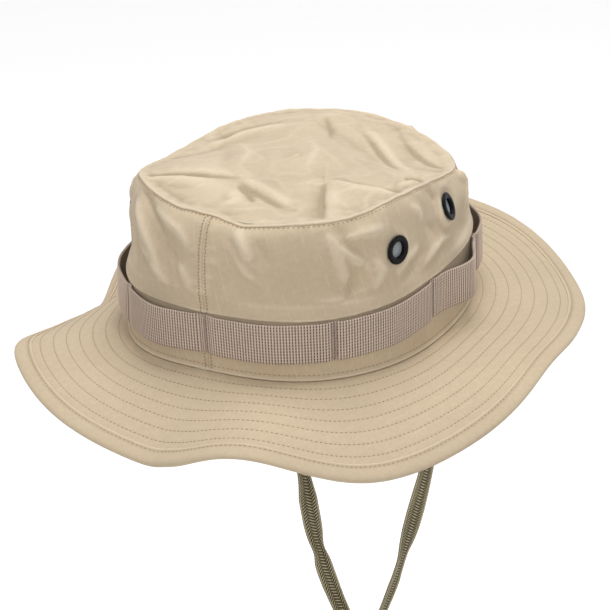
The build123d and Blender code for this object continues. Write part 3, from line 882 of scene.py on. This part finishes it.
# Painted highlight and painted shade of the top's creases, then of its lip.
top_painted_shading = np.concatenate([painted_crease_shading(top_lift, 1.2), [np.full(top_columns + 1, painted_level) for *_, painted_level in lip]])
cloth_piece(
    "crown_top_cloth", "crown_top_panel", crown_top, crown_top[:, :, :2], panel_cloth,
    ripstop("top_ripstop", 0.55, 38, top_khaki_fade_and_sheen), top_painted_shading,
)

# ---- Sweatband
# A band of khaki cotton twill inside the head opening, folded at its upper edge and sewn in with
# the base seam. It lies flat against the crown and carries one row of stitches under its fold.

band_rows = 24
band_width, band_stitch = 28, 3.2
band_length = 0.6  # metres around the head
band_turns = np.linspace(0, 360, 361)
band_cotton = (0.46, 0.385, 0.27)


def from_inside(skin, angle, height):
    """The point of a skin met by a level line out from the hat's middle at one height, or None."""
    return skin.ray_cast(Vector((0, 0, height)), heading(angle))[0]


def band_lines(node_name, low, high, rows):
    """The inner face of a band inside the hat, as a table of points from its foot to its head."""
    skin = skin_of(node_name)
    lines = []
    for angle in band_turns:
        met = [(height, from_inside(skin, angle, height)) for height in np.arange(low, high, 0.5 * mm)]
        heights, reaches = zip(*[(height, point.xy.length) for height, point in met if point is not None])
        at = np.linspace(heights[0], heights[-1], rows + 1)
        lines.append(upright_line(angle, np.interp(at, heights, reaches), at))
    return ring_table(lines)


def cotton_twill(name, colour, pitch):
    """Cotton twill or herringbone tape: fine diagonal ribs, a soft sheen and a slightly uneven dye."""
    material, tree, principled = shader(name, 0.9, {"Sheen Weight": 0.1})
    grain = node(tree, "ShaderNodeUVMap", uv_map="Grain").outputs[0]
    waves = {"Vector": grain, "Scale": 0.32 / (pitch * mm), "Distortion": 0.6}
    ribs = node(tree, "ShaderNodeTexWave", waves, bands_direction="DIAGONAL")
    dye(tree, principled, colour, 500.0, 0.86, 1.1)
    emboss(tree, principled, ribs.outputs[1], 0.5, 0.15)
    return material


def inner_band(name, stands_for, face, lift, material, sewn_rows):
    """A band of cotton against the crown's inside, raised by a table of millimetres and sewn down."""
    inwards = normals_of(face)
    inwards *= np.sign(np.sum(inwards * -face * (1, 1, 0), axis=2, keepdims=True))
    table = raised(face, inwards, lift)
    grain = np.stack([np.broadcast_to(band_turns / 360 * band_length, face.shape[:2]), face[:, :, 2]], axis=2)
    cloth_piece(f"{name}_cloth", stands_for, table[::-1], grain[::-1], 0.8, material)
    rows = [(table[row] + inwards[row] * 0.08 * mm, inwards[row]) for row in sewn_rows]
    sew(f"{name}_stitches", rows, stitch_thread)


band = band_lines("sweatband", -0.012, 0.045, band_rows)
band_share = np.linspace(0, 1, band_rows + 1)[:, None]
band_lift = 0.25 * noise_table(band, 60.0, 31) + 0.22 * bell(1 - band_share, 0.05)
band_lift -= 0.22 * bell((1 - band_share) * band_width - band_stitch, 0.7)
band_lift = np.minimum(band_lift, 0.5) * np.clip(band_share / 0.04, 0, 1)
sewn_at = int(band_rows * (1 - band_stitch / band_width))
inner_band(
    "sweatband", "sweatband", band, band_lift, cotton_twill("sweatband_twill", band_cotton, 0.9),
    [sewn_at],
)

# ---- Seam tape
# Herringbone cotton tape laid over the raw edges of the top seam inside the crown. It is sewn down
# along both of its edges.

tape_rows = 8
tape_cotton = (0.50, 0.43, 0.31)
tape = band_lines("crown_seam_tape", 0.045, 0.1, tape_rows)
inner_band(
    "seam_tape", "crown_seam_tape", tape, 0.2 * noise_table(tape, 130.0, 32),
    cotton_twill("seam_tape_herringbone", tape_cotton, 0.7), [1, tape_rows - 1],
)

# ---- Vents
# Four brass eyelets enamelled black, each clinched through the side panel onto a washer behind it,
# with a disc of fine grey mesh held across its opening.

rim_middle, rim_half_width, rim_half_height = 6.0, 1.7, 0.78
barrel_middle, barrel_half, barrel_depth = 4.85, 0.35, 3.6
washer_middle, washer_half_width, washer_half_height = 6.25, 0.95, 0.3
wire_pitch, wire_width, wire_wave = 0.62, 0.34, 0.14
screen_radius, screen_depth = 4.5, 0.6
black, worn_brass = (0.004, 0.004, 0.005), (0.035, 0.027, 0.018)
mesh_grey = (0.40, 0.44, 0.46)


def enamel(name, colour):
    """Black enamel on brass: a satin skin with small dimples, and brown metal where it is rubbed."""
    material, tree, principled = shader(name, 0.38, {"Specular IOR Level": 0.1})
    drift = drift_of(tree, 900.0)
    bare = mixed(tree, ranged(tree, drift, 0.56, 0.66, 0.0, 0.5), colour, worn_brass)
    tree.links.new(bare, principled.inputs["Base Color"])
    tree.links.new(ranged(tree, drift, 0.3, 0.7, 0.28, 0.5), principled.inputs["Roughness"])
    dimples = node(tree, "ShaderNodeTexNoise", {"Vector": place_on(tree), "Scale": 1400.0})
    emboss(tree, principled, dimples.outputs[0], 0.12, 0.03)
    return material


def wire_mesh(name, colour):
    """Painted wire with a slightly uneven coat."""
    material, tree, principled = shader(name, 0.6)
    dye(tree, principled, colour, 1500.0, 0.8, 1.15)
    return material


def tubes(name, runs, wide, tall, sides=5):
    """Threads or wires of oval section along some paths, each given with the direction up along it."""
    points, faces = [], []
    start = 0
    turns = np.arange(sides) / sides * 2 * pi
    pairs = [(corner, (corner + 1) % sides) for corner in range(sides)]
    for path, ups, *size in runs:
        run_wide, run_tall = size or (wide, tall)
        forward = unit(np.gradient(path, axis=0))
        up = square_to(forward, ups)
        side = np.cross(up, forward)
        across = np.broadcast_to(run_wide, len(path))[:, None] * np.cos(turns) / 2 * mm
        above = np.broadcast_to(run_tall, len(path))[:, None] * np.sin(turns) / 2 * mm
        ring = side[:, None] * across[:, :, None] + up[:, None] * above[:, :, None]
        points.append((path[:, None] + ring).reshape(-1, 3))
        last = start + (len(path) - 1) * sides
        for low in range(start, last, sides):
            high = low + sides
            faces += [(low + this, low + other, high + other, high + this) for this, other in pairs]
        faces.append(tuple(reversed(range(start, start + sides))))
        faces.append(tuple(range(last, last + sides)))
        start = last + sides
    return mesh_piece(name, points, faces)


def metal_ring(name, sections):
    """A ring of metal at the origin, spun from ovals given by middle, half sizes and level."""
    bpy.ops.object.select_all(action="DESELECT")
    rings = []
    for middle, half_width, half_height, level in sections:
        bpy.ops.mesh.primitive_circle_add(
            vertices=14, radius=mm, location=(middle * mm, 0, level * mm), rotation=(pi / 2, 0, 0)
        )
        ring = bpy.context.object
        bpy.ops.transform.resize(value=(half_width, 1, half_height))
        bpy.ops.object.transform_apply(location=True, rotation=True, scale=True)
        with editing("SELECT"):
            bpy.ops.mesh.spin(steps=56, angle=2 * pi, center=(0, 0, 0), axis=(0, 0, 1))
            bpy.ops.mesh.select_all(action="SELECT")
            bpy.ops.mesh.remove_doubles(threshold=1e-6)
            bpy.ops.mesh.normals_make_consistent(inside=False)
        bpy.ops.object.shade_smooth()
        ring.select_set(False)
        rings.append(ring)
    for ring in rings:
        ring.select_set(True)
    bpy.context.view_layer.objects.active = rings[0]
    if len(rings) > 1:
        bpy.ops.object.join()
    rings[0].name = rings[0].data.name = name
    return rings[0]


def facing(place, direction):
    """The move that takes something from the origin, where it faces up, to a place and a direction."""
    return Matrix.Translation(place) @ Vector(direction).to_track_quat("Z", "Y").to_matrix().to_4x4()


def screen_wires():
    """The wires of a round screen at the origin, woven over and under each other both ways."""
    wires = []
    for turn in (0, 1):
        for index in range(-6, 7):
            off = index * wire_pitch
            reach = (screen_radius**2 - off**2) ** 0.5
            along = np.arange(-reach, reach + 0.1, wire_pitch / 3)
            wave = wire_wave * np.cos((along / wire_pitch + index + turn) * pi)
            flat = np.stack([along, np.full_like(along, off), wave], axis=1) * mm
            wires.append((flat[:, [1, 0, 2]] if turn else flat, np.tile((0.0, 0.0, 1.0), (len(along), 1))))
    return wires


black_enamel = enamel("black_enamel", black)
grey_mesh = wire_mesh("grey_mesh", mesh_grey)
ring_parts = {
    "eyelet": [
        (rim_middle, rim_half_width, rim_half_height, 0.3 + rim_half_height),
        (barrel_middle, barrel_half, barrel_depth / 2, 0.9 - barrel_depth / 2),
    ],
    "washer": [(washer_middle, washer_half_width, washer_half_height, -panel_cloth - 0.6)],
}
for name, (face, axis) in vent_faces.items():
    place = facing(face, axis)
    for part, sections in ring_parts.items():
        metal = metal_ring(f"vent_{part}_{name}_metal", sections)
        metal.data.transform(place)
        declare(metal, black_enamel, f"vent_{part}_{name}")
    screen = tubes(f"vent_screen_{name}_mesh", screen_wires(), wire_width, wire_width)
    screen.data.transform(place @ Matrix.Translation((0, 0, -screen_depth * mm)))
    declare(screen, grey_mesh, f"vent_screen_{name}")

# ---- Webbing
# One strip of nylon webbing in taupe, whose weft ribs stand across it. It is drawn in at each bartack
# and stands off the crown between them as loops, and its two ends meet at the back seam.

rib_pitch, rib_height, hole_pitch = 1.55, 0.17, 1.7
webbing_low, webbing_high = 14.0, 36.0
webbing_width = webbing_high - webbing_low
webbing_rows = 18
webbing_middle = 25  # up the wall, where the loops' reach is compared with it
tacks_cut, tacks_shown = [0, 18, 56, 97, 360], [0, 18, 63, 97, 360]  # angles in the CAD and here
loop_bulges = [(408, 8, 2.5), (242, 12, -1.5), (446, 9, -4.0)]  # angle, width and how far out
# The webbing's taupe, and a near-black painted shade for the gaps between its ribs.
taupe, taupe_painted_shade = (0.720, 0.572, 0.468), (0.070, 0.048, 0.036)


def from_outside(skin, angle, height):
    """How far out a skin is met by a level line in towards the hat's middle, or None."""
    point = skin.ray_cast(heading(angle) * 0.2 + Vector((0, 0, height)), -heading(angle), 0.19)[0]
    return None if point is None else point.xy.length / mm


def ease(values, passes):
    """Evens out a line of values where they stand, with its two ends held."""
    for _ in range(passes):
        values[1:-1] = (values[:-2] + 2 * values[1:-1] + values[2:]) / 4


def headings(turns):
    """The level directions at some angles, in the plan."""
    return np.stack([np.sin(np.radians(turns)), np.cos(np.radians(turns))], axis=1)


def ribbed_webbing(name):
    """Nylon webbing: pale ribs across it, and painted shade in the gaps between them, bridged by the warp."""
    material, tree, principled = shader(name, 0.72, {"Sheen Weight": 0.15})
    grain = node(tree, "ShaderNodeUVMap", uv_map="Grain").outputs[0]
    along, across = node(tree, "ShaderNodeSeparateXYZ", {0: grain}).outputs[:2]
    ribs_turn = math_node(tree, "MULTIPLY", along, 2 * pi * rib_count / (loop_run[-1] * mm))
    holes_turn = math_node(tree, "MULTIPLY", across, 2 * pi / (hole_pitch * mm))
    ribs = ranged(tree, math_node(tree, "COSINE", ribs_turn), -0.6, 0.15)
    bridges = ranged(tree, math_node(tree, "COSINE", holes_turn), -0.2, 0.8)
    yarn = math_node(tree, "MAXIMUM", ribs, math_node(tree, "MULTIPLY", bridges, 0.66))
    dye(tree, principled, mixed(tree, yarn, taupe_painted_shade, taupe), 600.0, 0.85, 1.12)
    emboss(tree, principled, yarn, 0.8, 0.25)
    return material


webbing_skin = skin_of("foliage_webbing")
joint_half = degrees(0.45 / 98)
loop_turns = np.linspace(180 + joint_half, 540 - joint_half, 901)
loop_heights = np.linspace(webbing_low + 0.6, webbing_high - 0.6, 7)
loop_foot = np.interp(loop_turns % 360, angles, brim_top[0, :, 2]) / mm
loop_reach = np.empty((len(loop_heights), len(loop_turns)))
for row, height in enumerate(loop_heights):
    levels = (loop_foot + height) * mm
    found = [from_outside(webbing_skin, angle, level) for angle, level in zip(loop_turns, levels)]
    met = np.array([value is not None for value in found])
    loop_reach[row] = np.interp(loop_turns, loop_turns[met], [value for value in found if value is not None])
ease(loop_reach.T, 2)
cut_turns = np.interp(loop_turns - 360, tacks_shown, tacks_cut) + 360
loop_source = np.where(loop_turns > 360, cut_turns, loop_turns)
loop_reach = np.array([np.interp(loop_source, loop_turns, row) for row in loop_reach])
mid_reach = np.hypot(*wall[np.argmin(np.abs(wall_up[:, 0] - webbing_middle))].T[:2]) / mm
here, there = (np.interp(turns % 360, wall_angles, mid_reach) for turns in (loop_turns, loop_source))
loop_reach += here - there
for middle, width, bulge in loop_bulges:
    loop_reach += bulge * bell(loop_turns - middle, width)
loop_run = run_of(loop_reach[len(loop_heights) // 2][:, None] * headings(loop_turns))
rib_count = int(loop_run[-1] / rib_pitch)
rib_arc = np.linspace(0, loop_run[-1], rib_count * 4 + 1)
rib_turns = np.interp(rib_arc, loop_run, loop_turns)
rib_foot = np.interp(rib_turns, loop_turns, loop_foot)
rib_sag = np.interp(rib_turns % 360, webbing_turns, webbing_sags)
rib_wave = np.cos(rib_arc / loop_run[-1] * rib_count * 2 * pi)
tack_corners = corners_of(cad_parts["webbing_bartacks"].data)
tack_turns = np.sort(np.degrees(np.arctan2(tack_corners[:, 0], tack_corners[:, 1])) % 360)
tack_groups = np.split(tack_turns, np.nonzero(np.diff(tack_turns) > 1.0)[0] + 1)
tacks = [np.interp(turns.mean(), tacks_cut, tacks_shown) for turns in tack_groups if len(turns) > 2]
tack_arcs = [np.interp(turn + (360 if turn < loop_turns[0] else 0), loop_turns, loop_run) for turn in tacks]
drawn_in = sum(bell(rib_arc - arc, 1.1) for arc in tack_arcs)
flared = sum((1 - bell(rib_arc - arc, 2.4)) * bell(rib_arc - arc, 15) for arc in tack_arcs)
webbing_table = []
for share in np.linspace(0, 1, webbing_rows + 1):
    height = webbing_low + share * webbing_width
    from_edge = min(share, 1 - share) * webbing_width
    edge_wave = rib_wave * 0.22 * np.exp(-from_edge / 0.8) * (1 if share > 0.5 else -1)
    reach = np.interp(rib_turns, loop_turns, read_line(height, loop_heights, loop_reach))
    reach += rib_height * rib_wave - 0.2 - 0.35 * drawn_in + 0.7 * flared - 0.25 * np.exp(-from_edge / 0.5)
    level = rib_foot + height + edge_wave - rib_sag
    webbing_table.append(np.column_stack([reach[:, None] * headings(rib_turns), level]) * mm)
webbing_table = np.array(webbing_table)[::-1]
webbing_up = np.linspace(webbing_high, webbing_low, webbing_rows + 1)[:, None] * mm
cloth_piece(
    "foliage_webbing_strip", "foliage_webbing", webbing_table,
    np.stack(np.broadcast_arrays(rib_arc * mm, webbing_up), axis=2), 1.0,
    ribbed_webbing("taupe_webbing"), ring=False,
)

# ---- Bartacks
# Dense zigzags of taupe thread that sew the webbing down through the side panels. Each runs a
# little past the webbing's upper edge onto the crown.

tack_swing, tack_step, tack_thread = 1.0, 0.62, 0.42
tack_colour = (0.60, 0.48, 0.385)
tack_heights = np.arange(webbing_low + 0.3, webbing_high + 1.7, tack_step)
tack_runs = []
for turn, arc in zip(tacks, tack_arcs):
    line = webbing_table[::-1, int(np.argmin(np.abs(rib_arc - arc)))]
    wall_line = crown_wall[::-1, int(np.argmin(np.abs(wall_angles - turn)))]
    out = heading(turn)
    aside = Vector((out.y, -out.x, 0))
    points = []
    for step, height in enumerate(tack_heights):
        row = (height - webbing_low) / webbing_width * webbing_rows
        if row < webbing_rows:
            place = Vector(read_line(row, np.arange(webbing_rows + 1), line)) + out * 0.12 * mm
        else:
            level = line[0][2] + (height - webbing_low) * mm
            place = Vector(read_line(level, wall_line[:, 2], wall_line)) + out * 0.2 * mm
        points.append(place + aside * tack_swing * (-1) ** step * mm)
    tack_runs.append((np.array(points), np.tile(out, (len(points), 1))))
bartacks = tubes("webbing_bartack_threads", tack_runs, tack_thread, tack_thread)
declare(bartacks, thread_material("bartack_thread", tack_colour), "webbing_bartacks")

# ---- Cord tabs
# Two short tabs of doubled cloth tape, sewn in under the sweatband. A round thread tack through each
# holds an end of the lace, which swings on it.

tab_cotton, pin_colour = (0.47, 0.39, 0.275), (0.22, 0.20, 0.12)
pin_radius, pin_height = 1.2, -10
tab_material = cotton_twill("tab_tape", tab_cotton, 0.6)
pin_thread = thread_material("pin_thread", pin_colour)
for side, sign in (("left", -1), ("right", 1)):
    corners = corners_of(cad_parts[f"cord_tab_{side}"].data)
    low, high = corners.min(axis=0), corners.max(axis=0)
    inner, outer = (low[0], high[0]) if sign > 0 else (high[0], low[0])
    middle = (outer - sign * 0.5 * mm, (low[1] + high[1]) / 2, (low[2] + high[2]) / 2)
    bpy.ops.object.select_all(action="DESELECT")
    bpy.ops.mesh.primitive_cube_add(size=1, location=middle, scale=(mm, high[1] - low[1], high[2] - low[2]))
    tab = bpy.context.object
    tab.name = tab.data.name = f"cord_tab_{side}_tape"
    bpy.ops.object.transform_apply(location=True, rotation=True, scale=True)
    with editing("SELECT"):
        bpy.ops.mesh.bevel(offset=0.3 * mm, segments=3)
        bpy.ops.mesh.subdivide(number_cuts=1)
        bpy.ops.uv.cube_project(cube_size=1)
    tab.data.uv_layers.active.name = "Grain"
    bpy.ops.object.shade_smooth()
    declare(tab, tab_material, f"cord_tab_{side}")
    bpy.ops.object.select_all(action="DESELECT")
    bpy.ops.mesh.primitive_cylinder_add(
        vertices=24, radius=pin_radius * mm, depth=abs(outer - inner),
        location=((outer + inner) / 2, middle[1], pin_height * mm), rotation=(0, pi / 2, 0),
    )
    pin = bpy.context.object
    pin.name = pin.data.name = f"cord_tack_{side}"
    bpy.ops.object.transform_apply(location=True, rotation=True, scale=True)
    pick_faces(pin, lambda face: face.normal.x * sign < -0.9)
    with editing():
        bpy.ops.mesh.extrude_region_move(TRANSFORM_OT_translate={"value": (0, 0, 0)})
        bpy.ops.transform.resize(value=(1, 1.8, 1.8))
        bpy.ops.mesh.extrude_region_move(TRANSFORM_OT_translate={"value": (sign * 0.5 * mm, 0, 0)})
        bpy.ops.mesh.select_all(action="SELECT")
        bpy.ops.mesh.normals_make_consistent(inside=False)
    bpy.ops.object.shade_smooth_by_angle(angle=radians(50))
    declare(pin, pin_thread)
    bar = [
        (outer + sign * 0.03 * mm, middle[1] + off * mm, -8.0 * mm - 4 * mm * (index % 2))
        for index, off in enumerate(np.arange(-3.6, 3.7, 0.3))
    ]
    bar_run = (np.array(bar), np.tile((sign * 1.0, 0, 0), (len(bar), 1)))
    declare(tubes(f"cord_tab_{side}_bar", [bar_run], 0.3, 0.3), pin_thread)

# ---- Lace
# The chin cord is one flat braided polyester lace in olive. It hangs from the two tabs, passes
# through the leather slide, and closes in a loop below it.

lace_route = [
    (-78.93, -5), (-78.93, -25), (-67, -54), (-44, -82), (-24, -112), (-20, -144), (-15, -175), (-5, -205),
    (11.5, -238), (11.5, -290), (11.5, -313), (-6, -341), (-6, -358), (5.5, -370), (22.5, -370), (34, -358),
    (34, -341), (16.5, -313), (16.5, -290), (16.5, -238), (32, -203), (43, -168), (51, -139), (60, -104),
    (68, -66), (78.93, -28), (78.93, -5),
]
lace_plane = 30.0
lace_strands = 12
braid_period, braid_step = 24.0, 0.62
strand_wide, strand_tall = 1.15, 0.7
# The core is coloured the darkest painted shade, which fills the gaps between the strands.
shade_core_share, shade_core_tall = 1.85, 0.3  # a flat core that shows between the strands
lace_half, lace_spread, lace_lift = 3.6, 1.4, 0.38
lace_twists = [  # how far along the lace, and how many degrees its face has turned
    (0, 0), (0.12, 0), (0.177, 8), (0.184, 14), (0.192, 29), (0.1995, 55), (0.207, 58), (0.215, 55),
    (0.222, 40), (0.23, 22), (0.237, 4), (0.243, 2), (0.249, 24), (0.255, 33), (0.269, 30), (0.277, 22),
    (0.33, 0), (0.65, 0), (0.7, -6), (0.761, -12), (0.77, -6), (0.785, -4), (0.792, -8), (0.799, -20),
    (0.806, -29), (0.815, -38), (0.832, -41), (0.848, -34), (0.857, -29), (0.865, -25), (0.9, -12), (1, 0),
]
# The lace's olive, and a painted shade for where the strands dive, along their sides and on the core between
# them.
olive, olive_painted_shade = (0.720, 0.640, 0.440), (0.140, 0.118, 0.062)


def drawn_route(route, plane):
    """Points close together on a smooth curve that follows a route in an upright plane."""
    curve = bpy.data.curves.new("route", "CURVE")
    curve.dimensions = "3D"
    curve.resolution_u = 24
    spline = curve.splines.new("NURBS")
    spline.points.add(len(route) - 1)
    for point, (across, height) in zip(spline.points, route):
        point.co = (across * mm, plane * mm, height * mm, 1)
    spline.order_u = 3
    spline.use_endpoint_u = True
    holder = bpy.data.objects.new("route", curve)
    bpy.context.scene.collection.objects.link(holder)
    mesh = bpy.data.meshes.new_from_object(holder)
    points = corners_of(mesh)
    bpy.data.objects.remove(holder)
    bpy.data.meshes.remove(mesh)
    return points


def braided_lace(name):
    """Braided polyester: a painted highlight where a strand lies on top, painted shade where it dives, with
    fine fibres.
    """
    material, tree, principled = shader(name, 0.7, {"Specular IOR Level": 0.2})
    # The depth attribute holds painted shading: 1 for a painted highlight, 0 for painted shade.
    depth = node(tree, "ShaderNodeAttribute", attribute_name="depth").outputs["Fac"]
    dye(tree, principled, mixed(tree, ranged(tree, depth, 0.15, 0.85), olive_painted_shade, olive), 700.0, 0.8, 1.15)
    fibres = node(tree, "ShaderNodeTexNoise", {"Vector": place_on(tree), "Scale": 2600.0})
    emboss(tree, principled, fibres.outputs[0], 0.3, 0.08)
    return material


route_points = drawn_route(lace_route, lace_plane)
route_run = run_of(route_points)
lace_run = np.linspace(0, route_run[-1], int(route_run[-1] / (braid_step * mm)) + 1)
lace_line = read_line(lace_run, route_run, route_points)
ease(lace_line, 3)
lace_share = lace_run / lace_run[-1]
lace_twist = np.radians(np.interp(lace_share, *zip(*lace_twists)))
ease(lace_twist, 16)
from_end = np.minimum(lace_share, 1 - lace_share)
lace_open = np.clip((0.34 - from_end) / 0.04, 0, 1) * np.clip(from_end / 0.05, 0, 1)
lace_forward = unit(np.gradient(lace_line, axis=0))
level_across = np.tile((0.0, 1.0, 0.0), (len(lace_line), 1))
square_to_both = np.cross(lace_forward, level_across)
lace_across = level_across * np.cos(lace_twist)[:, None] + square_to_both * np.sin(lace_twist)[:, None]
lace_up = np.cross(lace_across, lace_forward)
lace_width = lace_half + lace_spread * lace_open
strand_runs = [(lace_line, lace_up, shade_core_share * lace_width, np.full(len(lace_line), shade_core_tall))]
strand_painted_shading = [np.zeros(len(lace_line) * 4)]
ring_turns = np.arange(4) / 4 * 2 * pi
for strand in range(lace_strands):
    phase = (lace_run / mm / braid_period + strand / lace_strands) * 2 * pi
    across = lace_width * np.cos(phase) * (1 - 0.12 * np.cos(2 * phase)) / 0.88
    over = lace_lift * np.sin(5 * phase)
    strand_runs.append((lace_line + (lace_across * across[:, None] + lace_up * over[:, None]) * mm, lace_up))
    # Painted shading of each strand: a painted highlight on its top and where it turns at the lace's edge,
    # and painted shade where it dives and along its sides.
    level = np.abs(over[:, None] + strand_tall / 2 * np.sin(ring_turns)[None])
    level = np.maximum(level / (lace_lift + strand_tall / 2), 0.75 * np.cos(phase)[:, None] ** 8)
    strand_painted_shading.append((level - 0.45 * np.abs(np.cos(ring_turns))[None]).ravel())
lace = tubes("chin_cord_lace", strand_runs, strand_wide, strand_tall, len(ring_turns))
painted_depth_layer = lace.data.attributes.new("depth", "FLOAT", "POINT")
painted_depth_layer.data.foreach_set("value", np.concatenate(strand_painted_shading).astype(np.float32))
declare(lace, braided_lace("olive_lace"), "chin_cord", body="chin_cord")

# ---- Keeper
# A block of brown harness leather with two slots, which slides up the lace under the chin and stays
# there by friction.

leather_pale, leather_deep = (0.150, 0.075, 0.034), (0.060, 0.028, 0.012)


def harness_leather(name):
    """Waxed brown leather: a fine grain of cells, and a colour that drifts between two shades."""
    material, tree, principled = shader(name, 0.5)
    shade = mixed(tree, drift_of(tree, 300.0), leather_deep, leather_pale)
    tree.links.new(shade, principled.inputs["Base Color"])
    spots = {"Vector": place_on(tree), "Scale": 1100.0}
    cells = node(tree, "ShaderNodeTexVoronoi", spots, feature="DISTANCE_TO_EDGE")
    emboss(tree, principled, ranged(tree, cells.outputs[0], 0.0, 0.15), 0.35, 0.1)
    return material


leather = harness_leather("harness_leather")
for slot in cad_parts["keeper"].material_slots:
    slot.material = leather

# ---- Studio
# A plain pale floor well below the hanging hat, a soft overhead light and a fill from each side.

camera_azimuth, camera_elevation, camera_roll = radians(30.5), radians(25.0), radians(-2.2)
camera_distance, camera_lens = 1.3, 138.9
floor_height = -0.42
lamps = (
    ("overhead_light", (0.1, 0.15, 1.6), 0.8, 15.3),
    ("right_light", (1.2, -1.3, 0.8), 0.9, 6.0),
    ("left_light", (-0.9, -1.6, 0.7), 1.3, 3.5),
)


def seen_directly(tree):
    """1 for what the camera sees straight, mirrored or through something clear, 0 for the light."""
    rays = node(tree, "ShaderNodeLightPath").outputs
    mirrored = math_node(tree, "MAXIMUM", rays["Is Camera Ray"], rays["Is Glossy Ray"])
    return math_node(tree, "MAXIMUM", mirrored, rays["Is Transmission Ray"])


right = Vector((cos(camera_azimuth), sin(camera_azimuth), 0))
backwards = Vector((sin(camera_azimuth), -cos(camera_azimuth), 0)) * cos(camera_elevation)
backwards.z = sin(camera_elevation)
upwards = backwards.cross(right)
target = right * 0.0009 + Vector((0, 0, -0.0019))
turned_right = right * cos(camera_roll) + upwards * sin(camera_roll)
turned_up = upwards * cos(camera_roll) - right * sin(camera_roll)
camera = bpy.data.objects.new("camera", bpy.data.cameras.new("camera"))
camera.data.sensor_width = 36
camera.data.lens = camera_lens
camera.data.clip_end = 20
axes = Matrix((turned_right, turned_up, backwards)).transposed().to_4x4()
camera.matrix_world = Matrix.Translation(target + backwards * camera_distance) @ axes
bpy.context.scene.collection.objects.link(camera)
bpy.context.scene.camera = camera

bpy.ops.object.select_all(action="DESELECT")
bpy.ops.mesh.primitive_plane_add(size=12, location=(0, 0, floor_height))
floor = bpy.context.object
floor.name = "floor"
floor_material, floor_tree, floor_shader = shader(
    "pale_floor", 0.9, {"Base Color": (0.9, 0.9, 0.9, 1), "Emission Color": (1, 1, 1, 1)}
)
glow = math_node(floor_tree, "MULTIPLY", seen_directly(floor_tree), 0.45)
floor_tree.links.new(glow, floor_shader.inputs["Emission Strength"])
floor.data.materials.append(floor_material)
floor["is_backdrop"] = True

for name, place, size, power in lamps:
    lamp = bpy.data.lights.new(name, "AREA")
    lamp.size = size
    lamp.energy = power
    light = bpy.data.objects.new(name, lamp)
    light.matrix_world = facing(place, place)
    bpy.context.scene.collection.objects.link(light)

world = bpy.data.worlds.new("studio")
bpy.context.scene.world = world
world.use_nodes = True
sky = world.node_tree.nodes["Background"]
sky.inputs["Color"].default_value = (1, 1, 1, 1)
bright = ranged(world.node_tree, seen_directly(world.node_tree), 0.0, 1.0, 0.42, 1.0)
world.node_tree.links.new(bright, sky.inputs["Strength"])
bpy.context.scene.view_settings.view_transform = "Standard"

low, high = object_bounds()
